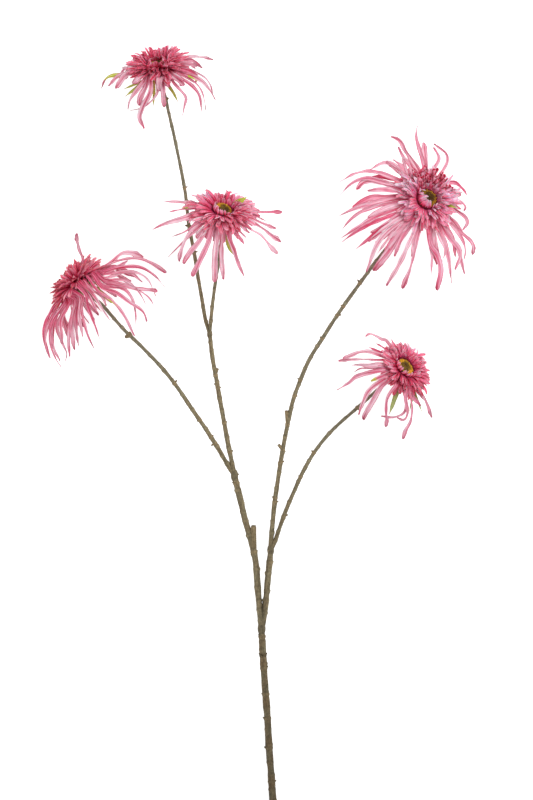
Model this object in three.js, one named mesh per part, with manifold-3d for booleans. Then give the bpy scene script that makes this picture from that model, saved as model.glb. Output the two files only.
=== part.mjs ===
// A cut spray of spider chrysanthemum: one branched woody stem that carries five open heads.
// The spray lies on a flat surface, z = 0, with its heads towards +Y. Millimetres, +Z up.
// Each head has long drooping ray petals, a dense crown of short petals, a disc and a green calyx.
import * as THREE from 'three';
import { mergeVertices } from 'three/addons/utils/BufferGeometryUtils.js';
import Module from 'manifold-3d';

const wasm = await Module();
wasm.setup();

// ---- Driving dimensions, mm ----
const GAP = 0.3; // between neighbouring pieces
const WELD = 0.01; // corners closer than this become one
const BLADE_THICK = 1.2; // ridge height of a petal
const BLADE_STEP = 22; // length of one straight stretch of a petal
const FRONT_LIFT = 22; // most that a front petal stands out of the spray's plane
const UNDER_CROWN = 4; // the ray petals leave this far below the disc
const SAG = 9; // droop of a petal of SAG_REACH
const SAG_REACH = 60;
const DEPTH_SPREAD = 8.6; // how much neighbouring ray petals differ in level at their tips
const REST_LEVEL = -0.5; // tip of a petal that the spray rests on, before it is cut flat at z = 0
const UNDER_WIDTH = 4.6; // petals behind a head
const LOOKING_UP = 2; // a head whose under petals spread wider than this looks up, radians
const BRACT_DROP = 11; // long bracts run this far below the petals
const STEM_STEP = 30; // length of one straight stretch of the stem
const STEM_SIDES = 7;
const TWIG_SIDES = 6;

// On a head, out is the distance from its axis and up the height over its disc, backwards negative.
// Roots of the upper and the lower row of ray petals, and where each row passes under the crown.
const RAY_ROOTS = [{ out: 6.4, up: -5.2 }, { out: 6.4, up: -7.4 }];
const RAY_RIMS = [{ out: 19, up: -4 }, { out: 19, up: -6.2 }];
const UNDER_ROOT = { out: 5.6, up: -7.6 };
const UNDER_RIM = { out: 15, up: -7 };
const BRACT_ROOT = { out: 4.6, up: -11.6 };
const BRACT_RIM = { out: 12, up: -12 };

// Turned bodies on a head's axis, as out, up from the back to the front.
const RECEPTACLE_TOP = -3.6;
const RECEPTACLE_BACK = -9.6;
const STEM_END = -15.8;
const RECEPTACLE = [[0, RECEPTACLE_BACK], [6.4, RECEPTACLE_BACK], [9.2, -7], [9.2, -4.4],
  [8.4, RECEPTACLE_TOP], [0, RECEPTACLE_TOP]];
const CROWN_CORE = [[0, RECEPTACLE_TOP + GAP], [10, RECEPTACLE_TOP + GAP], [11.6, -1.6], [11.2, 1],
  [9.6, 1.9], [8.9, 1.4], [8.9, -GAP], [0, -GAP]];
const DISC = [[0, 0], [8.6, 0], [8.6, 1.6], [7, 2.8], [4.6, 2.2], [0, 1.5]];
const CUP = [[0, STEM_END + GAP], [2.2, STEM_END + GAP], [5, -13.4], [7.2, -11.4],
  [7.6, RECEPTACLE_BACK - GAP], [0, RECEPTACLE_BACK - GAP]];
const TURNED_SIDES = 10;

// Rings of the crown, from the cup round the disc to the flat outer petals: how many, where their
// roots are, lean from the disc's plane in radians, length, width, straight stretches.
const CROWN_RINGS = [
  { count: 10, out: 10.4, up: 1, lean: 1.36, length: 8, width: 4.8, steps: 2 },
  { count: 11, out: 10.9, up: 0.2, lean: 0.84, length: 15, width: 5, steps: 2 },
  { count: 14, out: 11, up: -1.9, lean: 0.28, length: 23.5, width: 5.2, steps: 3 },
];
const SHORT_BRACTS = 6;
const SHORT_BRACT = { width: 3, path: [[4.4, -11.4], [8, -12.2], [11, -14.4]] };

// ---- Heads: centre of the disc, the way it faces, the level that its petals may hang to, the length
// and steepness of its crown petals against the common ones and how far the outer ones droop, and
// the petals behind it: how many, how far out, how far back, and how far round to each side of
// straight down (angles in radians) ----
const HEADS = [
  { id: 1, at: [-109.5, 336, 44], face: [-0.15, 0.9, 0.42], floor: 0, crown: [0.95, 0.95, 0.15],
    under: [9, 46, 18, 1.35] },
  { id: 2, at: [160.5, 201, 58], face: [0.3, 0.25, 0.92], floor: 0, crown: [1.06, 0.9, 0.1],
    under: [8, 25, 60, 3] },
  { id: 3, at: [-43, 189.5, 74], face: [0.1, 0.82, 0.56], floor: 38, crown: [1.04, 0.5, 0.1],
    under: [8, 36, 18, 1.1] },
  { id: 4, at: [-190, 119, 44], face: [-0.68, 0.72, -0.1], floor: 0, crown: [0.95, 1.15, 0.2],
    under: [10, 52, 34, 1.35] },
  { id: 5, at: [139, 33.5, 50], face: [0.57, 0.45, 0.68], floor: 0, crown: [0.88, 0.5, 0.1],
    under: [8, 25, 52, 2.5] },
];

// ---- Long ray petals: width, then x, y of the points they pass, mm from the disc, tip last ----
const RAYS = {
  1: [
    [3, -37, -11, -50, -14, -56, -25], [4, -38, -12, -49, -22], [5, -31, -11, -42, -24.5],
    [4, -24, -4, -38, -2.5], [4, -20, 0, -33, 1], [4, -15, -20, -27, -37, -29, -46],
    [5.5, -11, -24, -17, -34, -18, -42], [5, -7, -28, -14, -44, -17, -54, -13, -65],
    [2.4, 0, -29, -14, -43, -27, -46.5], [4.4, 6, -18, 7, -43.5],
    [4, 16, -20, 28, -34, 27, -42, 25.5, -52], [3.6, 20, -13, 35, -23, 42, -32, 45, -49],
    [2.4, 24, -11, 40, -21, 46, -32, 49, -47], [4.2, 28, -10, 43, -16, 51, -24, 58.5, -36],
    [2.6, 26, -4, 46, -12, 53, -21, 57, -35], [4, 22, 5, 38, 8, 46, 7, 56.5, 5],
    [4, 25, -6, 39, -12, 39, -19], [5.5, 24, -1, 41, -2.5], [6, 17, -13, 28, -22],
    [6, 9, -14, 13, -24], [6, -16, -14, -25, -20],
  ],
  2: [
    [3.6, -3, 38, -10.5, 64, -9, 75], [5, -1, 30, -3, 58], [4.6, -10, 32, -20, 49, -27, 59, -36, 63.5],
    [3.4, -13, 30, -24, 44, -29, 53], [4, -12, 28, -24, 42], [3, 13, 25, 21, 39, 20, 47, 7, 56.5],
    [3.6, 6, 28, 12, 41, 7, 53], [4, -24, 23, -34, 34, -44, 36, -60, 28], [4, -23, 24, -41, 38],
    [4.4, -18, 25, -34, 40], [4, -28, 18, -47, 25, -67, 26, -88, 17],
    [4, -28, 13, -47, 18, -62, 20, -77, 14, -87, 4], [5, -26, 10, -45, 17, -62, 17, -71, 9],
    [5, -26, 3, -42, 2, -57, 1, -75, -9], [4.6, -27, 0, -47, -3, -67, -8, -88, -17],
    [3.6, -26, -3, -47, -6, -67, -13, -77, -21, -86, -32], [4.6, -24, -8, -37, -13, -57, -22, -86, -39],
    [4, -24, -13, -57, -26, -77, -37, -85, -43], [4.6, -23, -15, -47, -32, -58, -40, -71, -50],
    [4, -20, -15, -42, -30, -59, -43], [4, -20, -18, -42, -35, -51, -47, -61, -73],
    [4, -18, -20, -39, -41, -50, -55], [6, -13, -21, -25, -32, -37, -51, -47, -63, -54, -72],
    [4.6, -9, -24, -15, -36, -22, -51, -30, -68, -41, -87],
    [4.6, -5, -24, -9, -35, -12, -51, -17, -71, -25, -90],
    [4.6, 1, -26, 4, -46, 10, -56, 13.5, -71, 10, -92], [3.6, 2, -27, 4, -52, 4, -78],
    [4, 5, -26, 6, -45, 10, -66], [3.4, 8, -24, 14, -40, 18, -51, 15, -63],
    [4, 10, -24, 18, -46, 22, -61, 25, -85], [4.2, 13, -23, 23, -39, 31, -48, 33, -56, 28, -71],
    [3.4, 16, -24, 29, -46, 33, -56, 38, -75], [4.4, 16, -16, 25, -23, 35, -33, 45, -44, 46, -56],
    [3.2, 19, -20, 33, -36, 38, -49, 37, -63], [4, 22, -6, 28, -9, 38, -17, 40, -23, 36, -31],
    [4, 20, -2, 33, -3, 38, -7, 37, -12], [3.6, 16, 15, 28, 17, 36, 10, 42, 2], [5, 20, 4, 35, 5],
  ],
  3: [
    [3.6, -26, 6, -33, 8, -46, 9, -61.5, 8.5], [3.6, -25, 1, -42, 0, -55, -2.5],
    [4.6, -25, -4, -37, -8, -53, -12, -71, -20], [2.4, -24, -12, -38, -22, -51, -27],
    [2.6, -21, -15, -41, -33, -55, -47], [4.2, -21, -14, -33, -22, -40, -35, -44, -52],
    [4.6, -18, -20, -25, -32, -33, -42, -40, -54], [4.8, -11, -20, -15, -32, -20, -42, -31, -67],
    [5.4, -4, -20, -7, -40, -9, -72.5], [5, 0, -20, -1, -45, 0, -70],
    [5, 5, -20, 7, -28, 12, -40, 16, -55, 21.5, -68.5], [3.6, 9, -19, 21, -34.5],
    [3.6, 12, -16, 24, -29.5], [4, 16, -14, 26.5, -23.5],
    [4.4, 20, -14, 29, -21, 38, -26, 46, -36, 54.5, -44], [4.8, 21, -9, 39, -18, 49, -26, 57.5, -32.5],
    [3.8, 24, -7, 38, -13, 53, -18.5], [3.8, 25, -1, 38, -2, 59, -1.5], [2.4, 25, -3, 44.5, -11.5],
    [6, 24, 0, 36.5, 0], [6, 24, -4, 37, -6], [6, -10, -17, -18, -29], [6, -5, -19, -10, -32],
    [6, -17, -17, -27, -29], [6, 1, -18, -1, -34],
  ],
  4: [
    [3, 26, 13, 35.5, 19, 44, 27, 54, 28.5, 67, 24], [3.6, 29, 15, 44, 21, 54, 23, 66, 22, 79, 16, 90, 8.5],
    [4, 27, 9, 39, 13, 52, 15, 64, 14, 76, 7, 88, -5.5], [3.4, 28, 6, 49, 10, 61, 8, 71, 1, 79, -15],
    [4, 27, 3, 52, 9, 66, -1], [6, 26, 0, 41, -3, 62, -9, 81, -10], [3.6, 26, 1, 49, 1, 61, -9, 69, -23],
    [3.6, 28, -1.5, 61, -9, 74, -19, 79, -30], [4, 26, -4, 46, -7, 55, -17, 59, -34, 59, -46],
    [4.6, 24, -6, 39, -11, 54, -22, 66, -31, 70, -41], [4.4, 21, -10, 34, -19, 47, -34, 58, -55],
    [4, 16, -10, 26, -17, 30, -25], [4, 14, -12, 22, -22, 34, -40], [4, 10, -14, 12, -24, 17, -41, 23, -58],
    [4, 11, -12, 21, -32], [3.8, 6, -16, 4, -29, 10, -51, 19, -71], [4, 4, -16, 3, -37, 6, -56],
    [4.4, 1, -16, -1, -36, 2, -65], [5, -1, -18, -5, -41, -2, -69],
    [4.4, -2, -16, -6, -37, -8, -57, -7, -76],
    [4, -8, -20, -20, -44, -14, -62, -10, -72, -12, -81], [4.4, -6, -18, -16, -41, -14, -63],
    [4.2, -11, -20, -26, -44, -27, -61, -22, -76, -16, -86], [4, -10, -18, -23, -41, -24, -61, -17, -80],
    [4, -14, -19, -26, -37, -32, -57, -30, -71, -24, -81], [4.4, -16, -18, -29, -34, -33, -54, -28, -77],
    [5, 22, 6, 38, 13, 51, 21],
  ],
  5: [
    [3.4, -13, 16, -19, 26, -24.5, 27, -34.5, 31.8, -40.5, 29.8],
    [4.2, -20, 9, -29, 12, -36, 14, -46, 13.5, -54, 10.5, -63, 8],
    [3.2, -22, 6, -32, 7, -42, 7.5, -55, 7, -67.5, 5.5], [4.4, -21, 1, -36, 1, -46, 2, -55, 1],
    [3, -22, -1, -37, -2, -46, -2.5, -52, -6],
    [4.2, -20, -5, -26, -5, -40, -6.5, -50, -10, -56.5, -16.5, -69, -24], [4, -18, -7, -35, -15],
    [4.2, -18, -11, -25, -15, -37, -25, -44, -38, -47, -48.5],
    [4.6, -16, -14, -25, -21, -35, -38, -42, -54], [4.6, -10, -19, -19, -33, -20, -61],
    [4, 2, -22, 6, -41, 4.5, -55.5, 0, -64, -3, -73], [3.4, 0, -22, 0, -33, 1, -48, -2, -52.5, -9, -51],
    [3, -2, -23, -2, -45, -11, -50, -25, -49.5], [4, 4, -21, 8, -30, 15, -40],
    [4, 10, -20, 18, -30, 23, -40, 27, -51.5], [3.4, -18, 10, -37.5, 19.5], [3, -15, 13, -30, 23.5],
    [2.4, -9, 17, -14.5, 29], [4, 0, 14, 0, 23.5], [4, 11, -20, 20, -35],
  ],
};

// ---- Ray petals that come from behind their head: width, then the points x, y, z, tip last ----
const FAR_RAYS = {
  1: [[5, [3, 11, -28], [6, 18, -42]]],
  4: [[4, [4, 14, -16], [6, 22, -20], [2.5, 33, -18], [0, 49, -10]]],
};

// ---- Green bracts that show among the petals: width, then x, y, tip last ----
const BRACTS = {
  1: [[4, -20, -23, -32, -32], [3, -22, -20, -34, -25], [3.2, -3, -28, -4, -42],
    [3.6, 8, -17, 16, -28, 21, -38], [3, 22, -10, 37, -14]],
  2: [[4, 18, -5, 26, -8]],
  3: [[3, -25, 3, -40, 3], [5.4, 4, -26, 5.5, -36, 12, -47], [4, -6, -24, -9, -41],
    [4.4, 12, 7, 23, 14]],
  4: [[3, 24, -11, 32, -17, 40.5, -24]],
  5: [[5.4, -5, -22, -8, -32, -16.5, -48.5], [3, 6, -20, 10, -28, 17, -46.5], [2.8, 7, -25, 4, -45.5]],
};

// ---- The stem: centre-line points x, y, z, with the radius at both ends of each branch ----
const FORK = [-4.9, -230, 14.4]; // trunk into its two limbs
const LEFT_FORK = [-32.2, -76, 19.5]; // left limb into two branches
const TOP_FORK = [-57, 66, 24.3]; // upper branch into the twigs of heads 1 and 3
const RIGHT_FORK = [4.2, -151, 17]; // right limb into the twigs of heads 2 and 5
const BRANCHES = [
  { radii: [3.5, 3.4], sides: STEM_SIDES + 1,
    path: [[9.8, -446, 3.3], [6.5, -402, 4.7], [3.5, -362, 6.5], [1, -322, 8.4], [-1.1, -291.5, 10.2],
      [-3.3, -261.4, 12.1], FORK] },
  { radii: [3.2, 3.1], sides: STEM_SIDES,
    path: [FORK, [-6.6, -212, 15.2], [-7.7, -201, 15.6], [-9.4, -181, 16.2], [-11.3, -161, 16.7],
      [-15.5, -140.5, 17.3], [-21.6, -120.5, 18], [-26.2, -100.5, 18.7], LEFT_FORK] },
  { radii: [2.3, 1.6], sides: TWIG_SIDES, head: 4,
    path: [LEFT_FORK, [-36.8, -69, 20], [-47.6, -50.3, 21], [-60.4, -30.2, 22], [-74.2, -10, 23.3],
      [-87.7, 10, 24.6], [-103.2, 30.2, 26.2], [-122.2, 50.3, 28], [-142.8, 70.4, 31.2],
      [-154.8, 84, 33.5], [-166.5, 97, 36.5]] },
  { radii: [2.4, 2.1], sides: TWIG_SIDES,
    path: [LEFT_FORK, [-35.2, -60.3, 20.2], [-39.4, -40.2, 20.9], [-43, -20.1, 21.5], [-46.7, 0, 22.1],
      [-50.3, 20.1, 22.7], [-53.9, 40.2, 23.4], TOP_FORK] },
  { radii: [1.9, 1.5], sides: TWIG_SIDES, head: 1,
    path: [TOP_FORK, [-61.2, 80.4, 25], [-64.8, 100.5, 25.8], [-68.9, 124.7, 26.9], [-72, 144, 27.7],
      [-77.7, 174.5, 29], [-82.1, 211.3, 30.5], [-91.8, 260.6, 33], [-98, 288, 35],
      [-102, 306, 36.6]] },
  { radii: [1.8, 1.5], sides: TWIG_SIDES, head: 3,
    path: [TOP_FORK, [-56, 79, 29.4], [-54.1, 97.1, 35], [-50.5, 122, 44], [-47, 146, 54],
      [-45, 163, 60.5]] },
  { radii: [3.1, 3], sides: STEM_SIDES,
    path: [FORK, [-2, -212, 15.2], [-0.5, -201, 15.6], [1.4, -181, 16.2], [3.2, -161, 16.7], RIGHT_FORK] },
  { radii: [2.4, 1.6], sides: TWIG_SIDES, head: 2,
    path: [RIGHT_FORK, [4.6, -140.7, 17.3], [6.5, -120.6, 18], [8.5, -100.5, 18.7],
      [11.4, -80.4, 19.3], [14.7, -60.3, 19.8], [18.1, -40.2, 20.5], [22.1, -20.1, 21.2],
      [26.9, 0, 22.1], [34, 20.1, 23], [42.9, 40.2, 23.7], [55.2, 60.3, 24.4], [67.9, 80.4, 25.2],
      [81.7, 100.5, 26], [103.9, 131.2, 28], [123.2, 156, 31], [141, 180, 36]] },
  { radii: [2.2, 1.5], sides: TWIG_SIDES, head: 5,
    path: [RIGHT_FORK, [8.2, -143, 17.3], [12.5, -130.7, 17.8], [19.7, -110.6, 18.8],
      [28.3, -90.5, 20], [37.7, -70.4, 21.2], [49.5, -50.3, 22.6], [66.3, -30.2, 24.4],
      [88.6, -10, 26.6], [100.6, 0.5, 28.2], [112, 11, 31], [121, 20, 34.5]] },
];
const STRAIGHT_END = 7; // the stem's last stretch into a head runs along the head's axis
const KNUCKLES = [[FORK, 4.1], [LEFT_FORK, 3.8], [TOP_FORK, 2.8], [RIGHT_FORK, 3.5]]; // swollen forks
// Buds, scars and stubs of removed shoots: x, y of the foot, way they point (degrees from +X),
// length, radius
const BUDS = [
  [-3.8, -256, 20, 4.6, 2.6], [-3.8, -256, 160, 4.6, 2.6], [-2.5, -270, 20, 5.6, 1.8],
  [0.8, -320, 175, 4.8, 2.2], [2.6, -350, 175, 6.4, 2.2], [5, -384, 10, 5, 2],
  [-12.8, -152, 15, 5.4, 2.4], [-15, -142, 82, 16, 2.8], [-30.5, -76, 20, 4.8, 2.4],
  [-29.8, -84, 170, 4.4, 2.2], [-37, -52.5, 20, 3.8, 1.9], [-51.2, 25.5, 72, 7, 2],
  [-72.5, 148.5, 10, 3.8, 1.5], [-77.7, 175, 170, 4.2, 1.9], [-82.3, 213, 20, 3.6, 1.4],
  [-100, 301.5, 20, 3, 2.4], [17.4, -48, 130, 5.8, 1.8], [14.5, -62, 10, 3.8, 1.7],
  [8.9, -98.5, 165, 4, 1.6], [8.4, -103, 10, 4, 1.7], [21.2, -24, 95, 14, 2.4],
  [71, 85.5, 5, 4.4, 1.7], [93, 118, 130, 4.4, 1.6], [17.6, -117, 20, 4.8, 1.8],
  [91, -8, -50, 4.2, 1.7], [-138, 64.5, 205, 5.8, 2.2], [-92.5, 17, 50, 4.4, 1.8],
  [-51.5, -44, 205, 4.8, 1.8],
];
const BUD_SIDES = 4;
const BRANCH_MARKS = 60; // points along a branch that a bud's foot is sought among

// ---- Materials: colour and roughness ----
const FINISHES = {
  rays: ['#ee9fb4', 0.6],
  crown: ['#c65a78', 0.65],
  disc: ['#8a6a24', 0.8],
  calyx: ['#9aa552', 0.65],
  stem: ['#7a705a', 0.8],
};

// ---- Helpers ----
const V = (p) => new THREE.Vector3(...p);
const AXIS = new THREE.Vector3(0, 1, 0); // a head's axis in its own frame
const faceOf = (head) => V(head.face).normalize();
const pairs = (flat) => flat.flatMap((x, i) => (i % 2 ? [] : [[x, flat[i + 1]]]));

// A number from 0 to 1 that depends only on which petal of which head is asked for, and its use.
function draw(head, petal, use) {
  const s = Math.sin(head.id * 12.9898 + petal * 78.233 + use * 37.719) * 43758.5453;
  return s - Math.floor(s);
}

function solid(geometry) {
  const bare = new THREE.BufferGeometry().setAttribute('position', geometry.getAttribute('position'));
  const merged = mergeVertices(bare.setIndex(geometry.index), 1e-4);
  const vertProperties = merged.getAttribute('position').array;
  return new wasm.Manifold(new wasm.Mesh({ numProp: 3, vertProperties, triVerts: merged.index.array }));
}

const fuse = (solids) => solids.reduce((whole, next) => whole.add(next));

function geometryOf(body) {
  const { vertProperties, triVerts } = body.getMesh();
  const geometry = new THREE.BufferGeometry();
  geometry.setAttribute('position', new THREE.BufferAttribute(vertProperties, 3));
  return geometry.setIndex(new THREE.BufferAttribute(triVerts, 1));
}

// The main body alone, with near-double corners made one: hollows that the petals seal are
// filled, and loose scraps are dropped.
function mainBody(body) {
  const welded = mergeVertices(geometryOf(body), WELD);
  const corners = welded.index.array;
  const kept = [];
  for (let i = 0; i < corners.length; i += 3) {
    const [a, b, c] = corners.subarray(i, i + 3);
    if (a !== b && b !== c && c !== a) kept.push(a, b, c);
  }
  const vertProperties = welded.getAttribute('position').array;
  const triVerts = new Uint32Array(kept);
  const clean = new wasm.Manifold(new wasm.Mesh({ numProp: 3, vertProperties, triVerts }));
  return clean.decompose().reduce((a, b) => (b.volume() > a.volume() ? b : a));
}

function mesh(kind, body, head) {
  const [color, roughness] = FINISHES[kind];
  const geometry = geometryOf(mainBody(body));
  geometry.computeVertexNormals();
  const made = new THREE.Mesh(geometry, new THREE.MeshStandardMaterial({ color, roughness, metalness: 0 }));
  made.name = head ? `${kind}_${head.id}` : kind;
  return made;
}

// Bends a unit cone or cylinder (axis Y) along a path: shift gives the place across the path.
function sweep(unit, path, steps, up, shift) {
  const frames = [];
  let rise = up;
  for (let i = 0; i <= steps; i++) {
    const tangent = path.getTangentAt(i / steps);
    rise = rise.clone().addScaledVector(tangent, -rise.dot(tangent)).normalize();
    frames.push({ at: path.getPointAt(i / steps), rise, across: tangent.clone().cross(rise) });
  }
  const position = unit.getAttribute('position');
  for (let k = 0; k < position.count; k++) {
    const along = position.getY(k) + 0.5;
    const [x, z] = [position.getX(k), position.getZ(k)];
    const { at, rise: lift, across } = frames[Math.round(along * steps)];
    const onAxis = Math.hypot(x, z) < 1e-6;
    const [right, high] = onAxis ? [0, 0] : shift(along, Math.atan2(x, z));
    const p = at.clone().addScaledVector(across, right).addScaledVector(lift, high);
    position.setXYZ(k, p.x, p.y, p.z);
  }
  return solid(unit);
}

const curve = (points) => new THREE.CatmullRomCurve3(points, false, 'centripetal');

// A petal: a three-sided blade with a ridge, narrow at its root, widest past the middle, pointed.
function blade(points, width, up, least = 3, most = 5) {
  const path = curve(points);
  const steps = Math.min(most, Math.max(least, Math.round(path.getLength() / BLADE_STEP)));
  const sideSine = Math.sin((2 * Math.PI) / 3);
  return sweep(new THREE.ConeGeometry(1, 1, 3, steps), path, steps, up, (along, angle) => {
    const half = (width / 2) * (0.34 + 0.66 * Math.sin(Math.PI * 0.72 * along));
    return [(half * Math.sin(angle)) / sideSine, (BLADE_THICK * 2 * Math.cos(angle)) / 3];
  });
}

// A woody tube whose radius runs from the first value to the second.
function tube(points, [from, to], sides) {
  const path = curve(points);
  const steps = Math.round(path.getLength() / STEM_STEP);
  const unit = new THREE.CylinderGeometry(1, 1, 1, sides, steps);
  return sweep(unit, path, steps, new THREE.Vector3(0, 0, 1), (along, angle) => {
    const radius = from + (to - from) * along;
    return [radius * Math.sin(angle), radius * Math.cos(angle)];
  });
}

const turned = (profile) =>
  solid(new THREE.LatheGeometry(profile.map(([r, h]) => new THREE.Vector2(r, h)), TURNED_SIDES));

// Everything under the surface that the spray lies on.
const belowSurface = solid(new THREE.BoxGeometry(2000, 2000, 100).translate(0, 0, -50));

// ---- Petals and bracts in the spray's own directions ----
// Level over the disc's centre of a petal where it passes x, y: in the plane of the head's face,
// or round its front where the face is turned away, and drooping further out.
function petalLevel(head, x, y) {
  const { x: nx, y: ny, z: nz } = faceOf(head);
  const reach = Math.hypot(x, y);
  const across = Math.min(1, Math.abs(nx * y - ny * x) / (reach * Math.hypot(nx, ny)));
  const level = nz > 0.3 ? -(nx * x + ny * y) / nz : FRONT_LIFT * Math.sqrt(1 - across ** 2);
  return Math.min(level, FRONT_LIFT) - UNDER_CROWN - SAG * (reach / SAG_REACH) ** 2;
}

// A petal from its root past its rim to the outer points, which are given from the disc's centre.
function reachOut(head, outer, root, rim, width, least, most) {
  const face = faceOf(head);
  const centre = V(head.at);
  const out = outer[0].clone().addScaledVector(face, -outer[0].dot(face)).normalize();
  const start = [root, rim].map((p) => out.clone().multiplyScalar(p.out).addScaledVector(face, p.up));
  const path = [...start, ...outer].map((p) => p.clone().add(centre));
  for (const p of path) p.z = Math.max(p.z, head.floor + REST_LEVEL);
  return blade(path, width, face, least, most);
}

function rayPetals(head) {
  const rays = RAYS[head.id].map(([width, ...flat], k) => {
    const depth = DEPTH_SPREAD * (draw(head, k, 1) - 0.6);
    const points = pairs(flat);
    const outer = points.map(([x, y], i) =>
      new THREE.Vector3(x, y, petalLevel(head, x, y) + (depth * (i + 0.5)) / points.length));
    return reachOut(head, outer, RAY_ROOTS[k % 2], RAY_RIMS[k % 2], width);
  });
  const farRays = (FAR_RAYS[head.id] ?? []).map(([width, ...points]) =>
    reachOut(head, points.map(V), RAY_ROOTS[1], RAY_RIMS[1], width));
  return [...rays, ...farRays];
}

// Hidden petals behind the head, which it rests on: a fan below a head that looks along the spray,
// and petals all round that hang straight down under a head that looks up.
function underPetals(head) {
  const [count, reach, back, spread] = head.under;
  const face = faceOf(head);
  const down = new THREE.Vector3(0, 0, -1).addScaledVector(face, face.z).normalize();
  const side = face.clone().cross(down);
  const behind = spread > LOOKING_UP ? new THREE.Vector3(0, 0, -1) : face.clone().negate();
  return Array.from({ length: count }, (_, k) => {
    const turn = spread * ((2 * (k + 0.5)) / count - 1) + 0.3 * (draw(head, k, 5) - 0.5);
    const out = down.clone().multiplyScalar(Math.cos(turn)).addScaledVector(side, Math.sin(turn));
    const long = reach * (0.9 + 0.2 * draw(head, k, 3));
    const outer = [[0.75, 0.35], [1, 1]].map(([r, b]) =>
      out.clone().multiplyScalar(r * long).addScaledVector(behind, b * back));
    return reachOut(head, outer, UNDER_ROOT, UNDER_RIM, UNDER_WIDTH, 2, 4);
  });
}

const longBracts = (head) => BRACTS[head.id].map(([width, ...flat]) => {
  const outer = pairs(flat).map(([x, y]) => new THREE.Vector3(x, y, petalLevel(head, x, y) - BRACT_DROP));
  return reachOut(head, outer, BRACT_ROOT, BRACT_RIM, width, 2, 4);
});

// ---- Crown and cup in the head's own frame, where +Y is the way it faces ----
const onHead = (turn) => ([out, up]) => new THREE.Vector3(out * Math.cos(turn), up, out * Math.sin(turn));

function crownPetals(head) {
  const [size, steepness, droop] = head.crown;
  return CROWN_RINGS.flatMap(({ count, out, up, lean, length, width, steps }, ring) =>
    Array.from({ length: count }, (_, k) => {
      const turn = (2 * Math.PI * (k + 0.5 * ring)) / count + 0.16 * (draw(head, k, 10 + ring) - 0.5);
      const long = length * size * (0.88 + 0.24 * draw(head, k, 20 + ring));
      const tilt = lean * steepness - droop * (1 - lean / CROWN_RINGS[0].lean)
        + 0.14 * (draw(head, k, 30 + ring) - 0.5);
      const [run, rise] = [long * Math.cos(tilt), long * Math.sin(tilt)];
      const sunk = [out - 2 * Math.cos(tilt), up - 2 * Math.sin(tilt)];
      const path = [sunk, [out, up], [out + 0.62 * run, up + 0.5 * rise], [out + run, up + rise]];
      return blade(path.map(onHead(turn)), width, AXIS, steps, steps);
    }));
}

const shortBracts = () => Array.from({ length: SHORT_BRACTS }, (_, k) =>
  blade(SHORT_BRACT.path.map(onHead((2 * Math.PI * k) / SHORT_BRACTS)), SHORT_BRACT.width, AXIS, 2, 2));

// ---- The spray ----
const spray = new THREE.Group();

function addHead(head) {
  const local = new THREE.Group();
  local.position.copy(V(head.at));
  local.quaternion.setFromUnitVectors(AXIS, faceOf(head));
  local.updateMatrix();
  const placed = (body) => body.transform(local.matrix.toArray());
  const rays = fuse([placed(turned(RECEPTACLE)), ...rayPetals(head), ...underPetals(head)]);
  spray.add(mesh('rays', rays.subtract(belowSurface), head));
  spray.add(mesh('calyx', fuse([placed(fuse([turned(CUP), ...shortBracts()])), ...longBracts(head)]), head));
  local.add(mesh('crown', fuse([turned(CROWN_CORE), ...crownPetals(head)]), head));
  local.add(mesh('disc', turned(DISC), head));
  spray.add(local);
}

function branchPoints({ head, path }) {
  const points = path.map(V);
  if (!head) return points;
  const { at, face } = HEADS[head - 1];
  const ends = [STEM_END - STRAIGHT_END, STEM_END].map((up) =>
    V(at).addScaledVector(V(face).normalize(), up));
  return [...points, ...ends];
}

// A small cone that stands on the branch nearest to x, y.
function bud([x, y, degrees, length, radius], marks) {
  const away = (p) => Math.hypot(p.x - x, p.y - y);
  const foot = marks.reduce((a, b) => (away(b) < away(a) ? b : a));
  const cone = new THREE.ConeGeometry(radius, length, BUD_SIDES).translate(0, length / 2, 0);
  cone.rotateZ(THREE.MathUtils.degToRad(degrees - 90)).translate(foot.x, foot.y, foot.z);
  return solid(cone);
}

function addStem() {
  const routes = BRANCHES.map(branchPoints);
  const marks = routes.flatMap((points) => curve(points).getSpacedPoints(BRANCH_MARKS));
  const wood = [
    ...BRANCHES.map(({ radii, sides }, i) => tube(routes[i], radii, sides)),
    ...KNUCKLES.map(([at, radius]) => solid(new THREE.IcosahedronGeometry(radius, 0).translate(...at))),
    ...BUDS.map((row) => bud(row, marks)),
  ];
  spray.add(mesh('stem', fuse(wood).subtract(belowSurface)));
}

addStem();
HEADS.forEach(addHead);

// The origin is the bottom centre of the whole spray's box.
const box = new THREE.Box3().setFromObject(spray, true);
const middle = box.getCenter(new THREE.Vector3());
spray.position.set(-middle.x, -middle.y, -box.min.z);

export default spray;
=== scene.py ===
"""A cut spray of spider chrysanthemum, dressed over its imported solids: long limp ray petals, a dense
crown of ribbed florets, a velvety disc, green bracts and a barked, knotty stem. Lengths are in
millimetres, in the spray's own directions, and angles in radians, unless a comment says otherwise;
the pieces are turned into metres in the frame at the end."""
import math

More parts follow.
